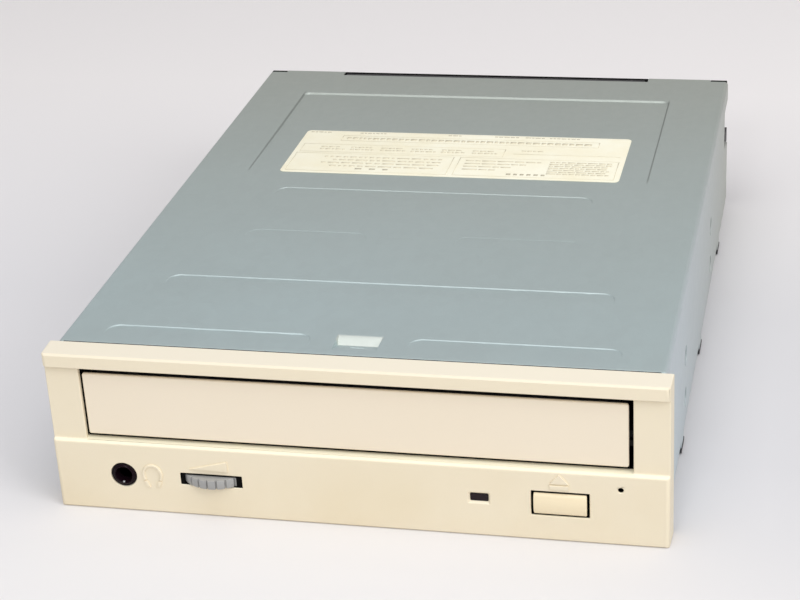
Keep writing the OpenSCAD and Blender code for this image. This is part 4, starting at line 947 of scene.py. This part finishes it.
def crowned_button():
    half_w, half_h, front, back = BUTTON_W / 2, BUTTON_H / 2, BEZEL_FRONT - BUTTON_PROUD, BUTTON_BACK
    steps, lip_from = 14, 0.86  # the face turns over into its lip at this share of the half height
    profile = [(back, -half_h)]
    for i in range(steps + 1):
        t = -1 + 2 * i / steps
        lip = BUTTON_EDGE * max(0.0, (abs(t) - lip_from) / (1 - lip_from)) ** 2
        profile.append((front + BUTTON_CROWN * t * t + lip, t * half_h))
    profile.append((back, half_h))
    turns = [math.radians(a) for a in (0, 22, 45, 68, 90)]
    stations = [(BUTTON_EDGE * (1 - math.cos(a)) - half_w, BUTTON_EDGE * (1 - math.sin(a))) for a in turns]
    stations += [(-x, inset) for x, inset in reversed(stations)]
    points, faces = [], []
    for x, inset in stations:
        for y, z in profile:
            depth = y if y == back else y + inset
            points.append((BUTTON_X + x, depth, BUTTON_Z + z * (1 - inset / half_h)))
    n = len(profile)
    for s in range(len(stations) - 1):
        for i in range(n):
            j = (i + 1) % n
            faces.append((s * n + i, s * n + j, s * n + n + j, s * n + n + i))
    last = (len(stations) - 1) * n
    faces += [tuple(range(n)), tuple(range(last, last + n))]
    mesh = closed(mesh_of("eject_cap", points, faces))
    new_object("eject_cap", mesh, BUTTON_CREAM, "eject_button", "eject_button", 50)


crowned_button()


# volume thumbwheel: flats between thin grooves, softened rims


def thumbwheel():
    pitch = 2 * math.pi / GROOVES
    half = GROOVE_W / 2 / WHEEL_R
    floor = 0.45 * half
    around = []
    for k in range(GROOVES):
        a = k * pitch + GROOVE_TURN
        around += [(a - half, 0.0), (a - floor, GROOVE_DEPTH), (a + floor, GROOVE_DEPTH), (a + half, 0.0)]
        around += [(a + half + (pitch - 2 * half) * t, 0.0) for t in (0.25, 0.5, 0.75)]
    n = len(around)
    # height and radius of each ring, from the hub out under the wheel, up its rim and back over the top
    hub, web, z = WHEEL_HUB, WHEEL_R - WHEEL_RIM, WHEEL_T / 2
    rim = [(-z, WHEEL_R - 0.3), (0.08 - z, WHEEL_R - 0.1), (0.28 - z, WHEEL_R)]
    rings = [(-z, hub), (-z, web)] + rim + [(-h, r) for h, r in reversed(rim)] + [(z, web), (z, hub)]
    points, faces = [], []
    for h, r in rings:
        for a, cut in around:
            far = r - cut if r > web else r
            points.append((WHEEL_X + far * math.cos(a), WHEEL_Y + far * math.sin(a), WHEEL_Z + h))
    for i in range(len(rings)):
        for k in range(n):
            j, m = (k + 1) % n, (i + 1) % len(rings)
            faces.append((i * n + k, i * n + j, m * n + j, m * n + k))
    mesh = closed(mesh_of("thumbwheel", points, faces))
    new_object("thumbwheel", mesh, GREY, "volume_wheel", "volume_wheel", 28)


def wheel_slot_shade():
    """Matt black rim just inside the wheel's opening, wider at its two ends, standing for the shade inside
    the slot: painted shade.
    """
    half, tall, corner = 8.0, 1.58, 0.1
    left_rim, right_rim, below, above = 1.25, 1.8, 1.5, 1.2
    thick, edge, middle = 0.4, 0.03, -6.75
    x0, x1 = WHEEL_X - half, WHEEL_X + half
    outer = rounded(x0, x1, CONTROL_Z - tall, CONTROL_Z + tall, corner)
    inner = rounded(x0 + left_rim, x1 - right_rim, CONTROL_Z - below, CONTROL_Z + above, corner)
    mesh = filled([outer, inner], thick, edge, lambda u, v, w: (u, middle + w, v), "wheel_slot_shade")
    flat_faces(new_object("wheel_slot_shade", mesh, MATT, "chassis"))


thumbwheel()
wheel_slot_shade()


# headphone socket: rounded collar, dished mouth and a sprung contact

# radius and y along the collar, from its seat round the front and back along the bore
FLANGE = ((JACK_R, JACK_SEAT), (JACK_R, -6.9), (3.02, -7.06), (2.88, -7.12), (2.7, -7.1))
LIP = ((2.6, -7.16), (2.5, -7.3), (2.36, -7.36), (2.22, -7.3), (2.12, -7.16))
MOUTH = ((2.04, -6.9), (1.94, -6.6), (JACK_BORE, -6.2), (JACK_BORE, JACK_SEAT), (JACK_R, JACK_SEAT))
# radius and height of the contact's rounded end, and its place from the middle of the bore
CONTACT = ((0.0, 0.4), (0.2, 0.36), (0.36, 0.22), (0.42, 0.0), (0.0, -0.3))
CONTACT_LEFT, CONTACT_Y, CONTACT_BELOW = 0.3, -6.82, 2.16


def headphone_socket():
    collar = revolved("jack_collar", FLANGE + LIP + MOUTH, (JACK_X, 0, CONTROL_Z), "y")
    new_object("jack_collar", collar, JACK, "chassis", "headphone_jack", 40)
    low, high = (Vector(c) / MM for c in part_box("headphone_jack"))
    shell = rounded(low.x, high.x, low.z, high.z, 0.6)
    bore = ring(JACK_X, CONTROL_Z, JACK_BORE)
    for part, y0, y1, holes in (("jack_body", JACK_SEAT, 9.0, [bore]), ("jack_back", 8.9, 11.0, [])):
        mesh = filled([shell] + holes, y1 - y0, 0.2, lambda u, v, w: (u, (y0 + y1) / 2 + w, v), part)
        flat_faces(new_object(part, mesh, JACK, "chassis"))
    centre = (JACK_X - CONTACT_LEFT, CONTACT_Y, CONTROL_Z - CONTACT_BELOW)
    spring = revolved("jack_contact", CONTACT, centre, "z", 24)
    new_object("jack_contact", spring, STEEL, "chassis", sharp=80)


headphone_socket()


# raised symbols on the bezel: headphones, a volume wedge and eject

SYMBOL_RISE, SYMBOL_SUNK, SYMBOL_EDGE = 0.38, 0.3, 0.2


def symbol(name, outlines):
    """Flat raised shapes with soft edges, sunk a little into the panel."""
    back, front = BEZEL_FRONT + SYMBOL_SUNK, BEZEL_FRONT - SYMBOL_RISE
    mesh = filled(outlines, back - front, SYMBOL_EDGE, lambda u, v, w: (u, (front + back) / 2 + w, v), name)
    flat_faces(new_object(name, mesh, CREAM, "chassis"))


def headphone_symbol():
    """A band that is open below, with two leaning pads at its ends."""
    x, z, half_w, half_h, band = -49.75, 10.6, 2.55, 2.9, 0.66
    start, sweep, steps = -34, 248, 30
    turns = [math.radians(start + sweep * k / steps) for k in range(steps + 1)]
    outer = [(x + half_w * math.cos(a), z + half_h * math.sin(a)) for a in turns]
    in_w, in_h = half_w - band, half_h - band
    inner = [(x + in_w * math.cos(a), z + in_h * math.sin(a)) for a in reversed(turns)]
    symbol("headphone_symbol", [outer + inner])
    apart, pad, lean, low, high = 1.5, 0.45, 0.3, 7.2, 8.9
    pads = []
    for s in (-1, 1):
        foot, head = x + s * (apart - lean), x + s * (apart + lean)
        pads.append([(foot - pad, low), (foot + pad, low), (head + pad, high), (head - pad, high)])
    symbol("headphone_pads", pads)


def volume_symbol():
    """A wedge that grows to the right."""
    left, right, tip, low, high = -40.2, -30.6, 13.0, 12.75, 15.55
    symbol("volume_symbol", [[(left, tip), (right, low), (right, high)]])


def eject_symbol():
    """An arrow head over a bar."""
    left, right, tip = 46.7, 51.2, 18.1
    arrow_low, bar_low, bar_high = 15.5, 14.0, 15.15
    arrow = [(left, arrow_low), (right, arrow_low), ((left + right) / 2, tip)]
    bar = [(left, bar_low), (right, bar_low), (right, bar_high), (left, bar_high)]
    symbol("eject_symbol", [arrow, bar])


headphone_symbol()
volume_symbol()
eject_symbol()


# finishes and softened edges of the CAD nodes that stay

# radius of the softened edges of each node
EDGE_MM = {
    "front_bezel": 0.3, "disc_tray": 0.3, "rear_panel": 0.2, "power_socket": 0.25, "data_header": 0.2,
    "bottom_pan": 0.12, "audio_header": 0.15, "jumper_block": 0.12, "jumper_cap": 0.15,
    "led_window": 0.1, "main_frame": 0.2, "clamp_bridge": 0.12, "power_pins": 0.1, "header_pins": 0.06,
    "turntable": 0.12, "clamper": 0.15, "traverse_frame": 0.2, "pickup_body": 0.15,
    "pickup_cover": 0.12, "main_chips": 0.1, "volume_pot": 0.15, "eject_switch": 0.15,
    "base_screws": 0.08, "mech_base": 0.1, "cam_slider": 0.15,
}


def soften(obj, width_mm, clamp):
    """Rounds the sharp edges of a CAD node, as moulding and pressing do.

    With clamp, no edge grows past its neighbour. Without it, the bevel keeps the flat faces flat.
    """
    obj.modifiers.new("join", "WELD").merge_threshold = JOIN_MM * MM
    whole = obj.modifiers.new("whole_faces", "DECIMATE")
    whole.decimate_type = "DISSOLVE"
    whole.angle_limit = math.radians(1)
    bevel = obj.modifiers.new("edges", "BEVEL")
    bevel.width = width_mm * MM
    bevel.segments = 3
    bevel.limit_method = "ANGLE"
    bevel.angle_limit = math.radians(50)
    bevel.use_clamp_overlap = clamp
    if clamp:
        obj.modifiers.new("flat", "WEIGHTED_NORMAL")
    else:
        bevel.harden_normals = True


slot_of = {s["node"]: s["material_slot"] for s in frame["record"]["subparts"]}
for name, obj in nodes.items():
    obj.data.materials.clear()
    obj.data.materials.append(BEZEL if name == "front_bezel" else SLOT_FINISH[slot_of[name]])
    if name in EDGE_MM:
        soften(obj, EDGE_MM[name], name != "front_bezel")


# pale floor, soft studio light and the camera


def backdrop():
    """A seamless sweep, in metres: floor, a wide curve and a wall far behind."""
    front, bend, bend_r, wall_top, half = -5.0, 0.9, 0.8, 2.6, 6.0
    turns = [math.radians(a) for a in range(10, 91, 10)]
    rows = [(front, 0.0), (bend, 0.0)]
    rows += [(bend + bend_r * math.sin(a), bend_r - bend_r * math.cos(a)) for a in turns]
    rows.append((bend + bend_r, wall_top))
    points, faces = [], []
    for y, z in rows:
        points += [Vector((-half, y, z)), Vector((half, y, z))]
    for i in range(len(rows) - 1):
        faces.append((2 * i, 2 * i + 1, 2 * i + 3, 2 * i + 2))
    mesh = bpy.data.meshes.new("backdrop")
    mesh.from_pydata(points, [], faces)
    mesh.polygons.foreach_set("use_smooth", [True] * len(mesh.polygons))
    obj = bpy.data.objects.new("backdrop", mesh)
    scene.collection.objects.link(obj)
    # painted light and shade on the paper: palest just in front of the drive and behind it, darker beside
    # it to the right, and darker far to the front and far to the right
    f = Finish("backdrop_paper", srgb(218, 215, 215), 0.8)
    middle = f.mix(f.remap(f.axis("X"), -0.2, 0.12), srgb(230, 228, 230), srgb(214, 212, 214))
    near = f.mix(f.remap(f.axis("Y"), -0.2, -0.06), srgb(238, 236, 235), middle)
    near = f.mix(f.remap(f.axis("Y"), -0.62, -0.24), srgb(178, 177, 176), near)
    near = f.mix(f.remap(f.axis("X"), 0.3, 0.8), near, srgb(184, 183, 183))
    f.colour(f.mix(f.remap(f.axis("Y"), 0.02, 0.2), near, srgb(243, 239, 238)))
    mesh.materials.append(f.material)


def area_light(name, where, target, size, watts):
    lamp = bpy.data.lights.new(name, "AREA")
    lamp.shape = "RECTANGLE"
    lamp.size, lamp.size_y = size
    lamp.energy = watts
    obj = bpy.data.objects.new(name, lamp)
    obj.location = where
    obj.rotation_euler = (Vector(target) - Vector(where)).to_track_quat("-Z", "Y").to_euler()
    scene.collection.objects.link(obj)


backdrop()
area_light("overhead", where=(0.15, -0.45, 1.1), target=(0, 0, 0), size=(1.3, 1.1), watts=9.6)
area_light("right_key", where=(1.0, -0.6, 0.75), target=(0, 0, 0.02), size=(0.7, 0.6), watts=4.5)
area_light("front_fill", where=(-0.02, -0.95, 0.62), target=(0, 0, 0.02), size=(0.14, 0.14), watts=1.3)
area_light("wall_wash", where=(0.0, 0.55, 1.5), target=(0, 1.6, 0.55), size=(1.6, 0.5), watts=1.6)

world = bpy.data.worlds.new("studio")
world.use_nodes = True
sky = world.node_tree.nodes["Background"].inputs
sky["Color"].default_value = srgb(232, 234, 238)
sky["Strength"].default_value = 0.42
scene.world = world

# fitted to the photo: lens in mm on a 36 mm sensor, place in the CAD source's mm, turns in degrees
CAMERA_LENS, CAMERA_SENSOR = 90.77, 36.0
CAMERA_PLACE = (110.508, -400.549, 257.054)
CAMERA_TURNS = ((13.777, "Z"), (64.135, "X"), (-3.399, "Z"))
camera = bpy.data.cameras.new("photo_camera")
camera.sensor_width = CAMERA_SENSOR
camera.lens = CAMERA_LENS
camera.clip_start = 0.01
camera.clip_end = 20.0
view = bpy.data.objects.new("photo_camera", camera)
stand = Matrix.Translation(place(*CAMERA_PLACE))
for angle, axis in CAMERA_TURNS:
    stand = stand @ Matrix.Rotation(math.radians(angle), 4, axis)
view.matrix_world = stand
scene.collection.objects.link(view)
scene.camera = view
scene.view_settings.view_transform = "Standard"
